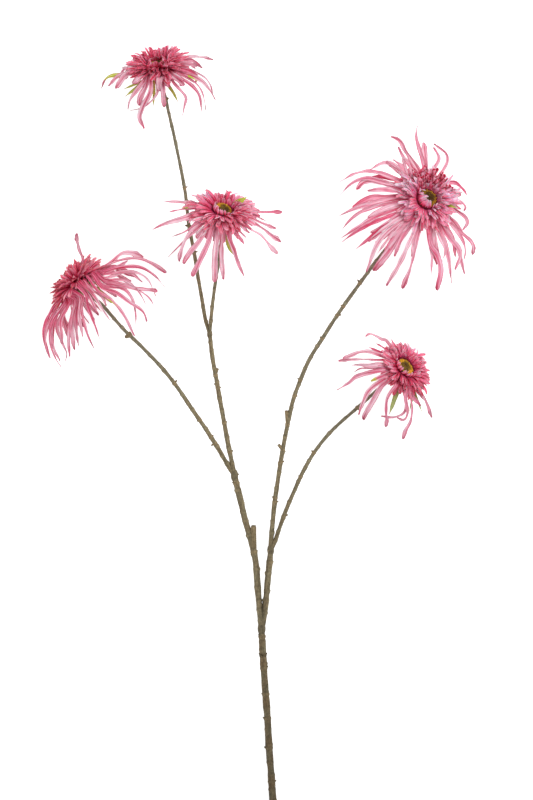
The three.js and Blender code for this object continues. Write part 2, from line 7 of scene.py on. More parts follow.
import bpy
import numpy as np
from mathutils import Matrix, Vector


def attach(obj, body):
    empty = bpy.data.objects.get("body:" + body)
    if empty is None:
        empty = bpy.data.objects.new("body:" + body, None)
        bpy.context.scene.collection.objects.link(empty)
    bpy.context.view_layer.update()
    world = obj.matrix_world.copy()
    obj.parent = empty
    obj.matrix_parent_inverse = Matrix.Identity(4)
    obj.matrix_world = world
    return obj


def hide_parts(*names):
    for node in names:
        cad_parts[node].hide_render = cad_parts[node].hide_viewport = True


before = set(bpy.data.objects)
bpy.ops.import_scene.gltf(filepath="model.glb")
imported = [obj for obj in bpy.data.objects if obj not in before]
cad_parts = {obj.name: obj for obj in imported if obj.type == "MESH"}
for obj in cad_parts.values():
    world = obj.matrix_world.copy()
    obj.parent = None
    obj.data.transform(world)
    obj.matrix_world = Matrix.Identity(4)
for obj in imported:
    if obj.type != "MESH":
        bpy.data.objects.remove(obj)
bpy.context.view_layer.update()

# ---- Driving dimensions, mm ----
MM = 0.001
PETAL_THICK = 0.34
FRONT_LIFT = 22  # most that a front petal stands out of the spray's plane
UNDER_CROWN = 4  # the ray petals leave this far below the disc
SAG, SAG_REACH = 9, 60  # droop of a petal of that reach
DEPTH_SPREAD = 8.6  # how much neighbouring ray petals differ in level at their tips
BRACT_DROP = 11
STEM_END, STRAIGHT_END = -15.8, 7  # on a head's axis, from the disc, and the straight stretch before it
# where petals leave a head and pass its rim: out from its axis, up over its disc
RAY_ROOTS = [(6.4, -5.2), (6.4, -7.4)]
RAY_RIMS = [(19, -4), (19, -6.2)]
UNDER_ROOT, UNDER_RIM, UNDER_WIDTH = (5.6, -7.6), (15, -7), 4.14
BRACT_ROOT, BRACT_RIM = (4.6, -11.6), (12, -12)
LOOKING_UP = 2  # a head whose under petals spread wider than this looks up
VIEW_LONG = 800  # what the camera sees from top to bottom at the heads' level
CAMERA_HEIGHT = 6500
HEAD_LEVEL = 55

# ---- Turned bodies on a head's axis: (out, up) points between their two ends ----
RECEPTACLE = [(0.5, -9.6), (6.4, -9.6), (9.2, -7), (9.2, -4.4), (8.4, -3.6), (0.5, -3.6)]
CROWN_CORE = [(0.5, -3.3), (10, -3.3), (11.4, -1.6), (10.8, 0.2), (9.6, 0.9), (8.9, 0.8), (8.9, -2.6),
              (0.5, -2.6)]
DISC_BED = [(0.3, 0), (8.5, 0), (8.5, 1.1), (7, 1.9), (4.4, 1.6), (0.3, 1.1)]
CALYX_CUP = [(0.4, -15.5), (2.2, -15.5), (3.4, -14.8), (5, -13.4), (6.4, -12.2), (7.2, -11.2), (7.5, -9.9),
             (0.4, -9.9)]

# ---- Heads. at: centre of the disc; face: the way it faces; gaze: the way its disc faces, where that
# differs; floor: lowest level of its petals; sway: how much longer its crown petals are toward +X and +Y;
# tall: how much its inner ones gain in length; tubes: the side where they stand as open tubes; tone, rich,
# tips: lightness of the crown, share of raspberry in its colour, brownness of its tips; light, wide, rosy:
# lightness and breadth of its long petals, and how far along them the rose of their roots reaches.
# The rows of values are named in GROUPS. crown: length and steepness of the crown petals against the common
# ones, and how far the outer ones droop; cup: the side that closes over the disc, the lean there and
# opposite, length, lightness, and how far toward that side the second ring of florets goes; eye: how far
# the disc is sunk, how green it is and its rim light; under: the petals behind the head ----
GROUPS = dict(crown=("size", "steepness", "droop"), cup=("side", "near", "far", "longer", "light", "gap"),
              eye=("sunk", "fresh"), under=("count", "reach", "back", "spread"))
COMMON = dict(floor=0, sway=(0, 0), tall=0, tubes=(0, 0))
HEADS = [
    dict(COMMON, id=1, at=(-109.5, 336, 44), face=(-0.15, 0.9, 0.42), crown=(0.95, 0.95, 0.15),
         cup=((0, -1), 2.2, 1.9, 1, 0.8, 0.2), eye=(1.5, 0.3), under=(9, 46, 18, 1.35), sway=(0, 0.05),
         tone=1.08, rich=0.3, tips=0.08, light=0.95, wide=1.16, rosy=1.05),
    dict(COMMON, id=2, at=(160.5, 201, 58), face=(0.3, 0.25, 0.92), crown=(1.06, 0.9, 0.1),
         cup=((-0.8, -0.6), 2.3, 1.2, 1.15, 0.8, 0.5), eye=(0.6, 0.3), under=(8, 25, 60, 3), tubes=(0.2, 1),
         tone=2.1, rich=0.14, tips=0.05, light=1.05, wide=1.27, rosy=0.82),
    dict(COMMON, id=3, at=(-43, 189.5, 74), face=(0.1, 0.82, 0.56), crown=(1.09, 0.48, 0.2),
         cup=((-0.88, -0.47), 1.8, 1, 0.85, 0.95, 0.25), eye=(2.2, 0.8), under=(8, 36, 18, 1.1),
         gaze=(0.33, 0.62, 0.71), floor=38, sway=(-0.07, -0.07),
         tone=1.3, rich=0.05, tips=0.1, light=1.05, wide=1.19, rosy=0.95),
    dict(COMMON, id=4, at=(-190, 119, 44), face=(-0.68, 0.72, -0.1), crown=(0.95, 1.15, 0.2),
         cup=((0, -1), 1.7, 1.7, 1.2, 0.85, 0.2), eye=(0.6, 0.6), under=(10, 52, 34, 1.35), tall=0.5,
         tone=1, rich=0.36, tips=0.45, light=1.02, wide=0.91, rosy=1.35),
    dict(COMMON, id=5, at=(139, 33.5, 50), face=(0.57, 0.45, 0.68), crown=(0.88, 0.5, 0.3),
         cup=((-0.6, -0.8), 1.35, 0.62, 1.15, 1, 0.35), eye=(1.8, 1.1), under=(8, 25, 52, 2.5),
         gaze=(0.6, 0.57, 0.56), sway=(0.05, -0.13),
         tone=1.18, rich=0, tips=0.1, light=0.98, wide=1.22, rosy=1),
]

# ---- Long ray petals: form and tint, width, then x, y of the points they pass from the disc, tip last ----
RAYS = {
    1: [
        ("point band", 4.2, -37, -11, -50, -14, -56, -25), ("blade", 4, -38, -12, -49, -22),
        ("blunt", 5, -31, -11, -42, -24.5), ("point", 4, -24, -4, -38, -2.5), ("point", 4, -20, 0, -33, 1),
        ("point", 4, -15, -20, -27, -37, -29, -46), ("blunt", 5.5, -11, -24, -17, -34, -18, -42),
        ("blade", 5, -7, -28, -14, -44, -17, -54, -13, -65), ("thread", 2.4, 0, -29, -14, -43, -27, -46.5),
        ("blunt", 4.4, 6, -18, 7, -43.5), ("point", 4, 16, -20, 28, -34, 27, -42, 25.5, -52),
        ("point", 3.6, 20, -13, 35, -23, 42, -32, 45, -49),
        ("thread", 2.4, 24, -11, 40, -21, 46, -32, 49, -47),
        ("point", 4.2, 28, -10, 43, -16, 51, -24, 58.5, -36),
        ("thread", 2.6, 26, -4, 46, -12, 53, -21, 57, -35), ("blade", 4, 22, 5, 38, 8, 46, 7, 56.5, 5),
        ("blade deep", 4, 25, -6, 39, -12, 39, -19), ("blunt", 5.5, 24, -1, 41, -2.5),
        ("blunt", 6, 17, -13, 28, -22), ("blunt", 6, 9, -14, 13, -24), ("blunt", 6, -16, -14, -25, -20),
        ("blunt", 6, 3, -15, 3, -28),
    ],
    2: [
        ("point", 3.6, -3, 38, -10.5, 64, -9, 75), ("blunt", 5, -1, 30, -3, 58),
        ("hook", 4.6, -10, 32, -20, 49, -27, 59, -36, 63.5), ("hook", 3.4, -13, 30, -24, 44, -29, 53),
        ("hook", 4, -12, 28, -24, 42), ("hook", 3, 13, 25, 21, 39, 20, 47, 7, 56.5),
        ("hook", 3.6, 6, 28, 12, 41, 7, 53), ("point", 4, -24, 23, -34, 34, -44, 36, -60, 28),
        ("blade", 4, -23, 24, -41, 38), ("blade", 4.4, -18, 25, -34, 40),
        ("point", 4, -28, 18, -47, 25, -67, 26, -88, 17),
        ("point", 4, -28, 13, -47, 18, -62, 20, -77, 14, -87, 4),
        ("blunt", 5, -26, 10, -45, 17, -62, 17, -71, 9), ("blade", 5, -26, 3, -42, 2, -57, 1, -75, -9),
        ("point", 4.6, -27, 0, -47, -3, -67, -8, -88, -17),
        ("point", 3.6, -26, -3, -47, -6, -67, -13, -77, -21, -86, -32),
        ("point", 4.6, -24, -8, -37, -13, -57, -22, -86, -39),
        ("point deep", 4, -24, -13, -57, -26, -77, -37, -85, -43),
        ("point deep", 4.6, -23, -15, -47, -32, -58, -40, -71, -50),
        ("blade", 4, -20, -15, -42, -30, -59, -43), ("blade", 4, -20, -18, -42, -35, -51, -47, -61, -73),
        ("point", 4, -18, -20, -39, -41, -50, -55),
        ("blunt", 6, -13, -21, -25, -32, -37, -51, -47, -63, -54, -72),
        ("blade", 4.6, -9, -24, -15, -36, -22, -51, -30, -68, -41, -87),
        ("spoon", 4.6, -5, -24, -9, -35, -12, -51, -17, -71, -25, -90),
        ("blunt", 4.6, 1, -26, 4, -46, 10, -56, 13.5, -71, 10, -92), ("point", 3.6, 2, -27, 4, -52, 4, -78),
        ("blade", 4, 5, -26, 6, -45, 10, -66), ("point", 3.4, 8, -24, 14, -40, 18, -51, 15, -63),
        ("point", 4, 10, -24, 18, -46, 22, -61, 25, -85),
        ("blade", 4.2, 13, -23, 23, -39, 31, -48, 33, -56, 28, -71),
        ("blade", 3.4, 16, -24, 29, -46, 33, -56, 38, -75),
        ("spoon", 4.4, 16, -16, 25, -23, 35, -33, 45, -44, 46, -56),
        ("point", 3.2, 19, -20, 33, -36, 38, -49, 37, -63),
        ("hook", 4, 22, -6, 28, -9, 38, -17, 40, -23, 36, -31),
        ("hook", 4, 20, -2, 33, -3, 38, -7, 37, -12), ("point deep", 3.6, 16, 15, 28, 17, 36, 10, 42, 2),
        ("blunt", 5, 20, 4, 35, 5), ("blade", 5, -16, -20, -30, -36, -40, -50, -44, -58),
        ("blade", 5, -22, -12, -40, -25, -57, -34), ("blade deep", 4.6, -20, -15, -38, -33, -52, -44),
        ("blade", 4.6, -26, -5, -44, -11, -60, -19), ("blade", 4.6, -14, -23, -26, -42, -33, -58),
        ("blade", 4.4, -26, 6, -44, 9, -60, 8), ("blade deep", 4, -24, 15, -42, 22, -56, 22),
        ("blade", 4, 14, -22, 26, -40, 29, -58), ("blade", 4.2, 4, -25, 8, -44, 13, -60),
        ("point", 3.6, 18, -14, 31, -26, 38, -38), ("blade", 4, -6, -24, -12, -42, -16, -58),
    ],
    3: [
        ("point", 3.6, -26, 6, -33, 8, -46, 9, -61.5, 8.5), ("point", 3.6, -25, 1, -42, 0, -55, -2.5),
        ("point", 4.6, -25, -4, -37, -8, -53, -12, -71, -20),
        ("thread umber", 2.4, -24, -12, -38, -22, -51, -27), ("thread", 2.6, -21, -15, -41, -33, -55, -47),
        ("spoon", 4.2, -21, -14, -33, -22, -40, -35, -44, -52),
        ("blunt", 4.6, -18, -20, -25, -32, -33, -42, -40, -54),
        ("blunt", 4.8, -11, -20, -15, -32, -20, -42, -31, -67), ("blunt", 5.4, -4, -20, -7, -40, -9, -72.5),
        ("blade", 5, 0, -20, -1, -45, 0, -70), ("point", 5, 5, -20, 7, -28, 12, -40, 16, -55, 21.5, -68.5),
        ("blade", 3.6, 9, -19, 21, -34.5), ("point", 3.6, 12, -16, 24, -29.5),
        ("blade umber", 4, 16, -14, 26.5, -23.5),
        ("spoon", 4.4, 20, -14, 29, -21, 38, -26, 46, -36, 54.5, -44),
        ("spoon", 4.8, 21, -9, 39, -18, 49, -26, 57.5, -32.5), ("spoon", 3.8, 24, -7, 38, -13, 53, -18.5),
        ("spoon", 3.8, 25, -1, 38, -2, 59, -1.5), ("thread", 2.4, 25, -3, 44.5, -11.5),
        ("blunt", 6, 24, 0, 36.5, 0), ("blunt", 6, 24, -4, 37, -6), ("blunt", 6, -10, -17, -18, -29),
        ("blunt", 6, -5, -19, -10, -32), ("blunt", 6, -17, -17, -27, -29), ("blunt", 6, 1, -18, -1, -34),
    ],
    4: [
        ("spoon umber", 8, 26, 13, 35.5, 19, 44, 27, 54, 28.5, 67, 24),
        ("spoon", 5.2, 29, 15, 44, 21, 54, 23, 66, 22, 79, 16, 90, 8.5),
        ("point", 4, 27, 9, 39, 13, 52, 15, 64, 14, 76, 7, 88, -5.5),
        ("point", 3.4, 28, 6, 49, 10, 61, 8, 71, 1, 79, -15), ("blade", 4, 27, 3, 52, 9, 66, -1),
        ("blunt", 6, 26, 0, 41, -3, 62, -9, 81, -10), ("point", 3.6, 26, 1, 49, 1, 61, -9, 69, -23),
        ("point", 3.6, 28, -1.5, 61, -9, 74, -19, 79, -30),
        ("point umber", 4, 26, -4, 46, -7, 55, -17, 59, -34, 59, -46),
        ("blade", 4.6, 24, -6, 39, -11, 54, -22, 66, -31, 70, -41),
        ("blade", 4.4, 21, -10, 34, -19, 47, -34, 58, -55), ("blade", 4, 16, -10, 26, -17, 30, -25),
        ("point", 4, 14, -12, 22, -22, 34, -40), ("point deep", 4, 10, -14, 12, -24, 17, -41, 23, -58),
        ("blade", 4, 11, -12, 21, -32), ("point", 3.8, 6, -16, 4, -29, 10, -51, 19, -71),
        ("blade", 4, 4, -16, 3, -37, 6, -56), ("blade", 4.4, 1, -16, -1, -36, 2, -65),
        ("blunt", 5, -1, -18, -5, -41, -2, -69), ("blade", 4.4, -2, -16, -6, -37, -8, -57, -7, -76),
        ("point", 4, -8, -20, -20, -44, -14, -62, -10, -72, -12, -81),
        ("blade", 4.4, -6, -18, -16, -41, -14, -63),
        ("point", 4.2, -11, -20, -26, -44, -27, -61, -22, -76, -16, -86),
        ("blade", 4, -10, -18, -23, -41, -24, -61, -17, -80),
        ("point", 4, -14, -19, -26, -37, -32, -57, -30, -71, -24, -81),
        ("blade deep", 4.4, -16, -18, -29, -34, -33, -54, -28, -77),
        ("blade umber", 5, 22, 6, 38, 13, 51, 21),
    ],
    5: [
        ("hook", 3.4, -13, 16, -19, 26, -24.5, 27, -34.5, 31.8, -40.5, 29.8),
        ("blunt", 4.2, -20, 9, -29, 12, -36, 14, -46, 13.5, -54, 10.5, -63, 8),
        ("spoon", 3.2, -22, 6, -32, 7, -42, 7.5, -55, 7, -67.5, 5.5),
        ("point", 4.4, -21, 1, -36, 1, -46, 2, -55, 1),
        ("thread umber", 3, -22, -1, -37, -2, -46, -2.5, -52, -6),
        ("point", 4.2, -20, -5, -26, -5, -40, -6.5, -50, -10, -56.5, -16.5, -69, -24),
        ("blade lime", 4, -18, -7, -35, -15),
        ("blade", 4.2, -18, -11, -25, -15, -37, -25, -44, -38, -47, -48.5),
        ("blunt", 4.6, -16, -14, -25, -21, -35, -38, -42, -54),
        ("spoon", 4.6, -10, -19, -19, -33, -20, -61),
        ("spoon", 4, 2, -22, 6, -41, 4.5, -55.5, 0, -64, -3, -73),
        ("hook", 3.4, 0, -22, 0, -33, 1, -48, -2, -52.5, -9, -51),
        ("hook", 3, -2, -23, -2, -45, -11, -50, -25, -49.5), ("blade", 4, 4, -21, 8, -30, 15, -40),
        ("spoon", 4, 10, -20, 18, -30, 23, -40, 27, -51.5), ("point deep", 3.4, -18, 10, -37.5, 19.5),
        ("point deep", 3, -15, 13, -30, 23.5), ("thread", 2.4, -9, 17, -14.5, 29),
        ("blade", 4, 0, 14, 0, 23.5), ("blade", 4, 11, -20, 20, -35),
    ],
}

# ---- Ray petals out of the common plane: form and tint, width, then the points x, y, z ----
FREE_RAYS = {
    1: [("blunt", 5, (3, 11, -28), (6, 18, -42))],
    2: [("thread", 3, (-20, 22, 4), (-25, 41, 10), (-20, 38, 17), (-17, 25, 19), (-20, 12, 16))],
    4: [("spoon", 6.8, (4, 14, -16), (6, 22, -20), (2.5, 33, -18), (0, 49, -10))],
}

# ---- Green bracts that show among the petals: width, then x, y, tip last ----
BRACTS = {
    1: [(4, -20, -23, -32, -32), (3, -22, -20, -34, -25), (3.2, -3, -28, -4, -42),
        (3.6, 8, -17, 16, -28, 21, -38)],
    2: [(4, 18, -5, 26, -8)],
    3: [(5.4, 4, -26, 5.5, -36, 12, -47), (4, -6, -24, -9, -41), (4.4, 12, 7, 23, 14)],
    4: [(3, 24, -11, 32, -17, 40.5, -24)],
    5: [(5.4, -8.5, -24, -11.5, -34, -16.2, -48), (3, 6, -20, 10, -28, 17, -46.5),
        (2.8, 7, -25, 4, -45.5)],
}

# ---- Bracts that stand out among the petals: width, then the points x, y, z ----
FREE_BRACTS = {
    1: [(2.8, (24, -11, 8), (33, -13, 18), (41, -18, 20))],
    2: [(3.8, (21, -6.5, -2), (25.5, -8, 7), (30, -9.3, 12))],
    3: [(8.5, (13, 6, -10), (18, 9.5, -5), (23.5, 13, -1)),
        (2.8, (-25, 3, -6), (-36, 2.2, 0), (-42, 2, -1))],
    4: [(1.7, (26, -14, 12), (34.5, -20.5, 15), (41.5, -26, 17))],
}

# ---- The stem: centre-line points, with the radius at both ends of each branch ----
FORK, LEFT_FORK = (-4.9, -230, 14.4), (-32.2, -76, 19.5)
TOP_FORK, RIGHT_FORK = (-57, 66, 24.3), (4.2, -151, 17)
BRANCHES = [
    dict(radii=(3.5, 3.4), path=[
        (9.8, -446, 3.3), (6.5, -402, 4.7), (3.5, -362, 6.5), (1, -322, 8.4), (-1.1, -291.5, 10.2),
        (-3.3, -261.4, 12.1), FORK]),
    dict(radii=(3.2, 3.1), path=[
        FORK, (-6.6, -212, 15.2), (-7.7, -201, 15.6), (-9.4, -181, 16.2), (-11.3, -161, 16.7),
        (-15.5, -140.5, 17.3), (-21.6, -120.5, 18), (-26.2, -100.5, 18.7), LEFT_FORK]),
    dict(radii=(2.3, 1.6), head=4, path=[
        LEFT_FORK, (-36.8, -69, 20), (-47.6, -50.3, 21), (-60.4, -30.2, 22), (-74.2, -10, 23.3),
        (-87.7, 10, 24.6), (-103.2, 30.2, 26.2), (-122.2, 50.3, 28), (-142.8, 70.4, 31.2),
        (-154.8, 84, 33.5), (-166.5, 97, 36.5)]),
    dict(radii=(2.4, 2.1), path=[
        LEFT_FORK, (-35.2, -60.3, 20.2), (-39.4, -40.2, 20.9), (-43, -20.1, 21.5), (-46.7, 0, 22.1),
        (-50.3, 20.1, 22.7), (-53.9, 40.2, 23.4), TOP_FORK]),
    dict(radii=(1.9, 1.5), head=1, path=[
        TOP_FORK, (-61.2, 80.4, 25), (-64.8, 100.5, 25.8), (-68.9, 124.7, 26.9), (-72, 144, 27.7),
        (-77.7, 174.5, 29), (-82.1, 211.3, 30.5), (-91.8, 260.6, 33), (-98, 288, 35), (-102, 306, 36.6)]),
    dict(radii=(1.8, 1.5), head=3, path=[
        TOP_FORK, (-56, 79, 29.4), (-54.1, 97.1, 35), (-50.5, 122, 44), (-47, 146, 54), (-45, 163, 60.5)]),
    dict(radii=(3.1, 3), path=[
        FORK, (-2, -212, 15.2), (-0.5, -201, 15.6), (1.4, -181, 16.2), (3.2, -161, 16.7), RIGHT_FORK]),
    dict(radii=(2.4, 1.6), head=2, path=[
        RIGHT_FORK, (4.6, -140.7, 17.3), (6.5, -120.6, 18), (8.5, -100.5, 18.7), (11.4, -80.4, 19.3),
        (14.7, -60.3, 19.8), (18.1, -40.2, 20.5), (22.1, -20.1, 21.2), (26.9, 0, 22.1), (34, 20.1, 23),
        (42.9, 40.2, 23.7), (55.2, 60.3, 24.4), (67.9, 80.4, 25.2), (81.7, 100.5, 26),
        (103.9, 131.2, 28), (123.2, 156, 31), (141, 180, 36)]),
    dict(radii=(2.2, 1.5), head=5, path=[
        RIGHT_FORK, (8.2, -143, 17.3), (12.5, -130.7, 17.8), (19.7, -110.6, 18.8), (28.3, -90.5, 20),
        (37.7, -70.4, 21.2), (49.5, -50.3, 22.6), (66.3, -30.2, 24.4), (88.6, -10, 26.6),
        (100.6, 0.5, 28.2), (112, 11, 31), (121, 20, 34.5)]),
]
KNUCKLES = [(FORK, 4.1), (LEFT_FORK, 3.8), (TOP_FORK, 2.8), (RIGHT_FORK, 3.5)]
# x, y of the foot, the way it points in degrees from +X, length, radius
BUDS = [
    (-5.9, -238, 150, 4.4, 2.4), (-3.8, -256, 20, 4.6, 2.6), (-3.8, -256, 160, 4.6, 2.6),
    (-2.5, -270, 20, 4.8, 2.2), (-1.5, -296, 175, 4.6, 1.8), (0.8, -320, 175, 4.8, 2.2),
    (2.6, -350, 175, 5.2, 2.8), (5, -384, 10, 5, 2), (-12.8, -152, 15, 4.2, 2.4),
    (-12.6, -154, 91, 28, 3.5), (-30.5, -76, 20, 4.8, 2.4), (-29.8, -84, 170, 4.4, 2.2),
    (-37, -52.5, 20, 3.8, 1.9), (-42.5, -22.5, 15, 3.4, 1.6), (-50, 15.7, 170, 3.8, 1.6),
    (-49.2, 12, 10, 3.6, 1.6), (-51.2, 25.5, 72, 7, 2), (-72.5, 148.5, 10, 3.8, 1.5),
    (-77.7, 175, 170, 4.2, 1.9), (-80.5, 198, 60, 4, 1.4), (-82.3, 213, 20, 3.6, 1.4),
    (-100, 301.5, 20, 3, 2.4), (17.4, -50, 128, 7.2, 2.1), (14.5, -62, 10, 3.8, 1.7),
    (8.9, -98.5, 165, 4, 1.6), (8.4, -103, 10, 4, 1.7), (21.2, -24, 95, 14, 2.4), (28.5, 5, -15, 3.1, 1.6),
    (34, 20.5, 150, 3.6, 1.5), (56, 61.5, 150, 3.6, 1.5), (71, 85.5, 5, 4.4, 1.7),
    (77.5, 94.5, 160, 3.4, 1.4), (93, 118, 130, 4.4, 1.6), (17.6, -117, 20, 4.8, 1.8),
    (48, -52.5, 140, 3.6, 1.8), (34, -77, 150, 2.8, 1.6), (63.5, -32.5, 150, 2.7, 1.6),
    (91, -8, -50, 4.2, 1.7), (-138, 64.5, 212, 5.2, 3.6), (-92.5, 17, 50, 4.4, 1.8),
    (-68, -20, 215, 3.4, 1.4), (-56.3, -37, 40, 3.4, 1.5), (-51.5, -44, 205, 4.8, 1.8),
]

# ---- Forms of a ray petal: how much of its width its tip rounds off over, how far it rolls up into a
# gutter at root and tip, and its width along it as (place, share) ----
FORMS = {
    "blade": (0.35, (2.4, 0.8), [(0, 0.3), (0.25, 0.76), (0.62, 1), (0.86, 0.8), (1, 0.42)]),
    "blunt": (0.8, (2.1, 0.6), [(0, 0.36), (0.28, 0.86), (0.66, 1), (0.93, 0.94), (1, 0.82)]),
    "point": (0.1, (2.2, 1.4), [(0, 0.34), (0.27, 0.92), (0.58, 1), (0.82, 0.6), (1, 0.1)]),
    "spoon": (0.8, (2.4, 0.6), [(0, 0.36), (0.3, 0.68), (0.62, 0.54), (0.78, 0.66), (0.92, 1), (1, 0.72)]),
    "hook": (0.5, (2.2, 1.9), [(0, 0.4), (0.35, 0.9), (0.75, 0.8), (0.93, 0.62), (1, 0.46)]),
    "thread": (0.1, (2.6, 2.4), [(0, 0.6), (0.4, 1), (0.75, 0.6), (1, 0.15)]),
}


# ---- Colours, sRGB 0-255 ----
def linear(r, g, b):
    """A colour of 0-255 sRGB values as a linear one."""
    c = np.array([r, g, b], float) / 255
    return np.where(c <= 0.04045, c / 12.92, ((c + 0.055) / 1.055) ** 2.4)


ROSE_ROOT = linear(166, 36, 76)
ROSE = linear(216, 86, 122)
PINK = linear(227, 142, 166)
PALE = linear(239, 198, 210)
DUSTY = linear(190, 100, 122)
CRIMSON = linear(158, 8, 54)
RASPBERRY = linear(208, 56, 100)
CROWN_ROSE = linear(236, 104, 146)
CROWN_PINK = linear(246, 158, 186)
# painted highlight on the crown petals' edges
CROWN_EDGE_HIGHLIGHT = linear(250, 188, 208)
CROWN_WALL = linear(246, 146, 174)
CROWN_WARMTH = np.array((1.06, 0.95, 0.89))  # the crowns' red, green and blue against the colours above
# painted shade inside a floret that stands as a tube
THROAT = linear(186, 30, 78)
UMBER = linear(140, 92, 82)
LIME = linear(188, 201, 72)
FRESH_LIME = linear(202, 222, 66)  # the tips of the bracts that stand out among the petals
OLIVE_GREEN = linear(146, 164, 84)
PALE_GREEN = linear(194, 198, 144)
LEAVES = {5: linear(168, 188, 112)}  # the green of a head's bracts where it isn't lime
TIP_BROWN = linear(136, 98, 60)
TIP_ROSE = linear(172, 104, 84)
DISC_DARK = linear(84, 50, 22)
DISC_OLIVE = linear(160, 130, 42)
DISC_YELLOW = linear(248, 186, 42)
BARK_LIGHT = linear(140, 130, 102)
BARK_MID = linear(117, 107, 84)
BARK_BROWN = linear(136, 108, 76)
BARK_YOUNG = linear(124, 121, 102)
BARK_WORN = linear(132, 116, 88)
CUT_WOOD = linear(186, 166, 120)


# ---- Numbers, directions and lines ----
# the first key of each kind of petal, which draw tells them apart by; ray petals count from 0
FREE_RAY_KEY, UNDER_KEY, FLORET_KEY, SCALE_KEY, BRACT_KEY, FREE_BRACT_KEY = 70, 100, 200, 500, 600, 620
SPLINE_STEPS = 24  # between two points of a line
CROWDING = 1.3  # how much closer together a petal's rings are toward its tip


def draw(head, key, use):
    """A number from 0 to 1 that depends only on the head, on which of its petals is asked for, and on
    what it is for: each measure that varies has a use number of its own."""
    s = math.sin(head["id"] * 12.9898 + key * 78.233 + use * 37.719) * 43758.5453
    return s - math.floor(s)


def unit(v):
    return v / np.linalg.norm(v)


def mix(a, b, share):
    """From a, at a share of 0, to b, at 1."""
    return a * (1 - share) + b * share


def blend(colours, other, share):
    """What some points have, such as colours, changed toward another one by each point's share."""
    return mix(colours, other, share[..., None])


def smoothstep(low, high, x):
    t = np.clip((x - low) / (high - low), 0, 1)
    return t * t * (3 - 2 * t)


def along_keys(keys, s):
    """Eased values at s between (place, value) keys."""
    places = np.array([k for k, _ in keys])
    values = np.array([np.atleast_1d(v) for _, v in keys], float)
    i = np.clip(np.searchsorted(places, s, side="right") - 1, 0, len(places) - 2)
    return mix(values[i], values[i + 1], smoothstep(places[i], places[i + 1], s)[:, None])


def spline(points, places):
    """Points at those shares of the length of the centripetal Catmull-Rom curve through points."""
    p = np.array(points, float)
    p = np.vstack([2 * p[0] - p[1], p, 2 * p[-1] - p[-2]])
    dense = []
    for a, b, c, d in zip(p, p[1:], p[2:], p[3:]):
        t1 = max(np.linalg.norm(b - a) ** 0.5, 1e-4)
        t2 = t1 + max(np.linalg.norm(c - b) ** 0.5, 1e-4)
        t3 = t2 + max(np.linalg.norm(d - c) ** 0.5, 1e-4)
        t = np.linspace(t1, t2, SPLINE_STEPS, endpoint=False)[:, None]
        ab = (t1 - t) / t1 * a + t / t1 * b
        bc = (t2 - t) / (t2 - t1) * b + (t - t1) / (t2 - t1) * c
        cd = (t3 - t) / (t3 - t2) * c + (t - t2) / (t3 - t2) * d
        abc = (t2 - t) / t2 * ab + t / t2 * bc
        bcd = (t3 - t) / (t3 - t1) * bc + (t - t1) / (t3 - t1) * cd
        dense.append((t2 - t) / (t2 - t1) * abc + (t - t1) / (t2 - t1) * bcd)
    dense = np.vstack([*dense, p[-2:-1]])
    run = np.concatenate([[0], np.cumsum(np.linalg.norm(np.diff(dense, axis=0), axis=1))])
    return np.stack([np.interp(places * run[-1], run, dense[:, k]) for k in range(3)], 1), run[-1]


def tipward(count):
    """Places along a petal, closer together toward its tip."""
    return 1 - (1 - np.linspace(0, 1, count)) ** CROWDING


def tangents(centre):
    tangent = np.gradient(centre, axis=0)
    return tangent / np.linalg.norm(tangent, axis=1)[:, None]


def carried_frames(centre, up):
    """Tangents, normals and sideways directions along a line, with the normal carried on from up."""
    tangent = tangents(centre)
    normal = np.empty_like(tangent)
    for i, t in enumerate(tangent):
        up = unit(up - t * up.dot(t))
        normal[i] = up
    return tangent, normal, np.cross(tangent, normal)


def across_only(vectors, tangent):
    """Unit vectors with their share along the tangent taken out."""
    flat = vectors - tangent * (vectors * tangent).sum(1)[:, None]
    return flat / np.linalg.norm(flat, axis=1)[:, None]


def twisted(tangent, normal, twist):
    """The normal and the sideways direction, turned round the tangent."""
    side = np.cross(tangent, normal)
    normal = normal * np.cos(twist)[:, None] + side * np.sin(twist)[:, None]
    return normal, np.cross(tangent, normal)


def head_axes(head):
    """Two directions square to a head's axis and to each other."""
    face = head["face"]
    a = unit(np.cross(face, (0, 0, 1)) if abs(face[2]) < 0.9 else np.cross(face, (1, 0, 0)))
    return a, np.cross(face, a)


def out_from(axes, turn):
    """The way out from an axis at a turn round it."""
    return math.cos(turn) * axes[0] + math.sin(turn) * axes[1]


def whole_turn(sides):
    return np.linspace(0, 2 * np.pi, sides, endpoint=False)


def circle(turn, x, y):
    """Points of a unit circle, turned from x toward y."""
    return np.cos(turn)[:, None] * x + np.sin(turn)[:, None] * y


def pairs(flat):
    """A row of numbers as (x, y) points."""
    return [flat[i:i + 2] for i in range(0, len(flat), 2)]


for head in HEADS:
    for group, names in GROUPS.items():
        head[group] = dict(zip(names, head[group]))
    head["at"] = np.array(head["at"], float)
    head["gaze"] = unit(np.array(head.get("gaze", head["face"]), float))
    head["face"] = unit(np.array(head["face"], float))
    head["cup"]["side"] = unit(np.array(head["cup"]["side"], float))


# ---- Meshes: each is a stack of closed tubes ----
END_STRIP = 0.06  # share of a tube's cell in the texture square that each of its ends takes up
CELL_MARGIN = 0.04


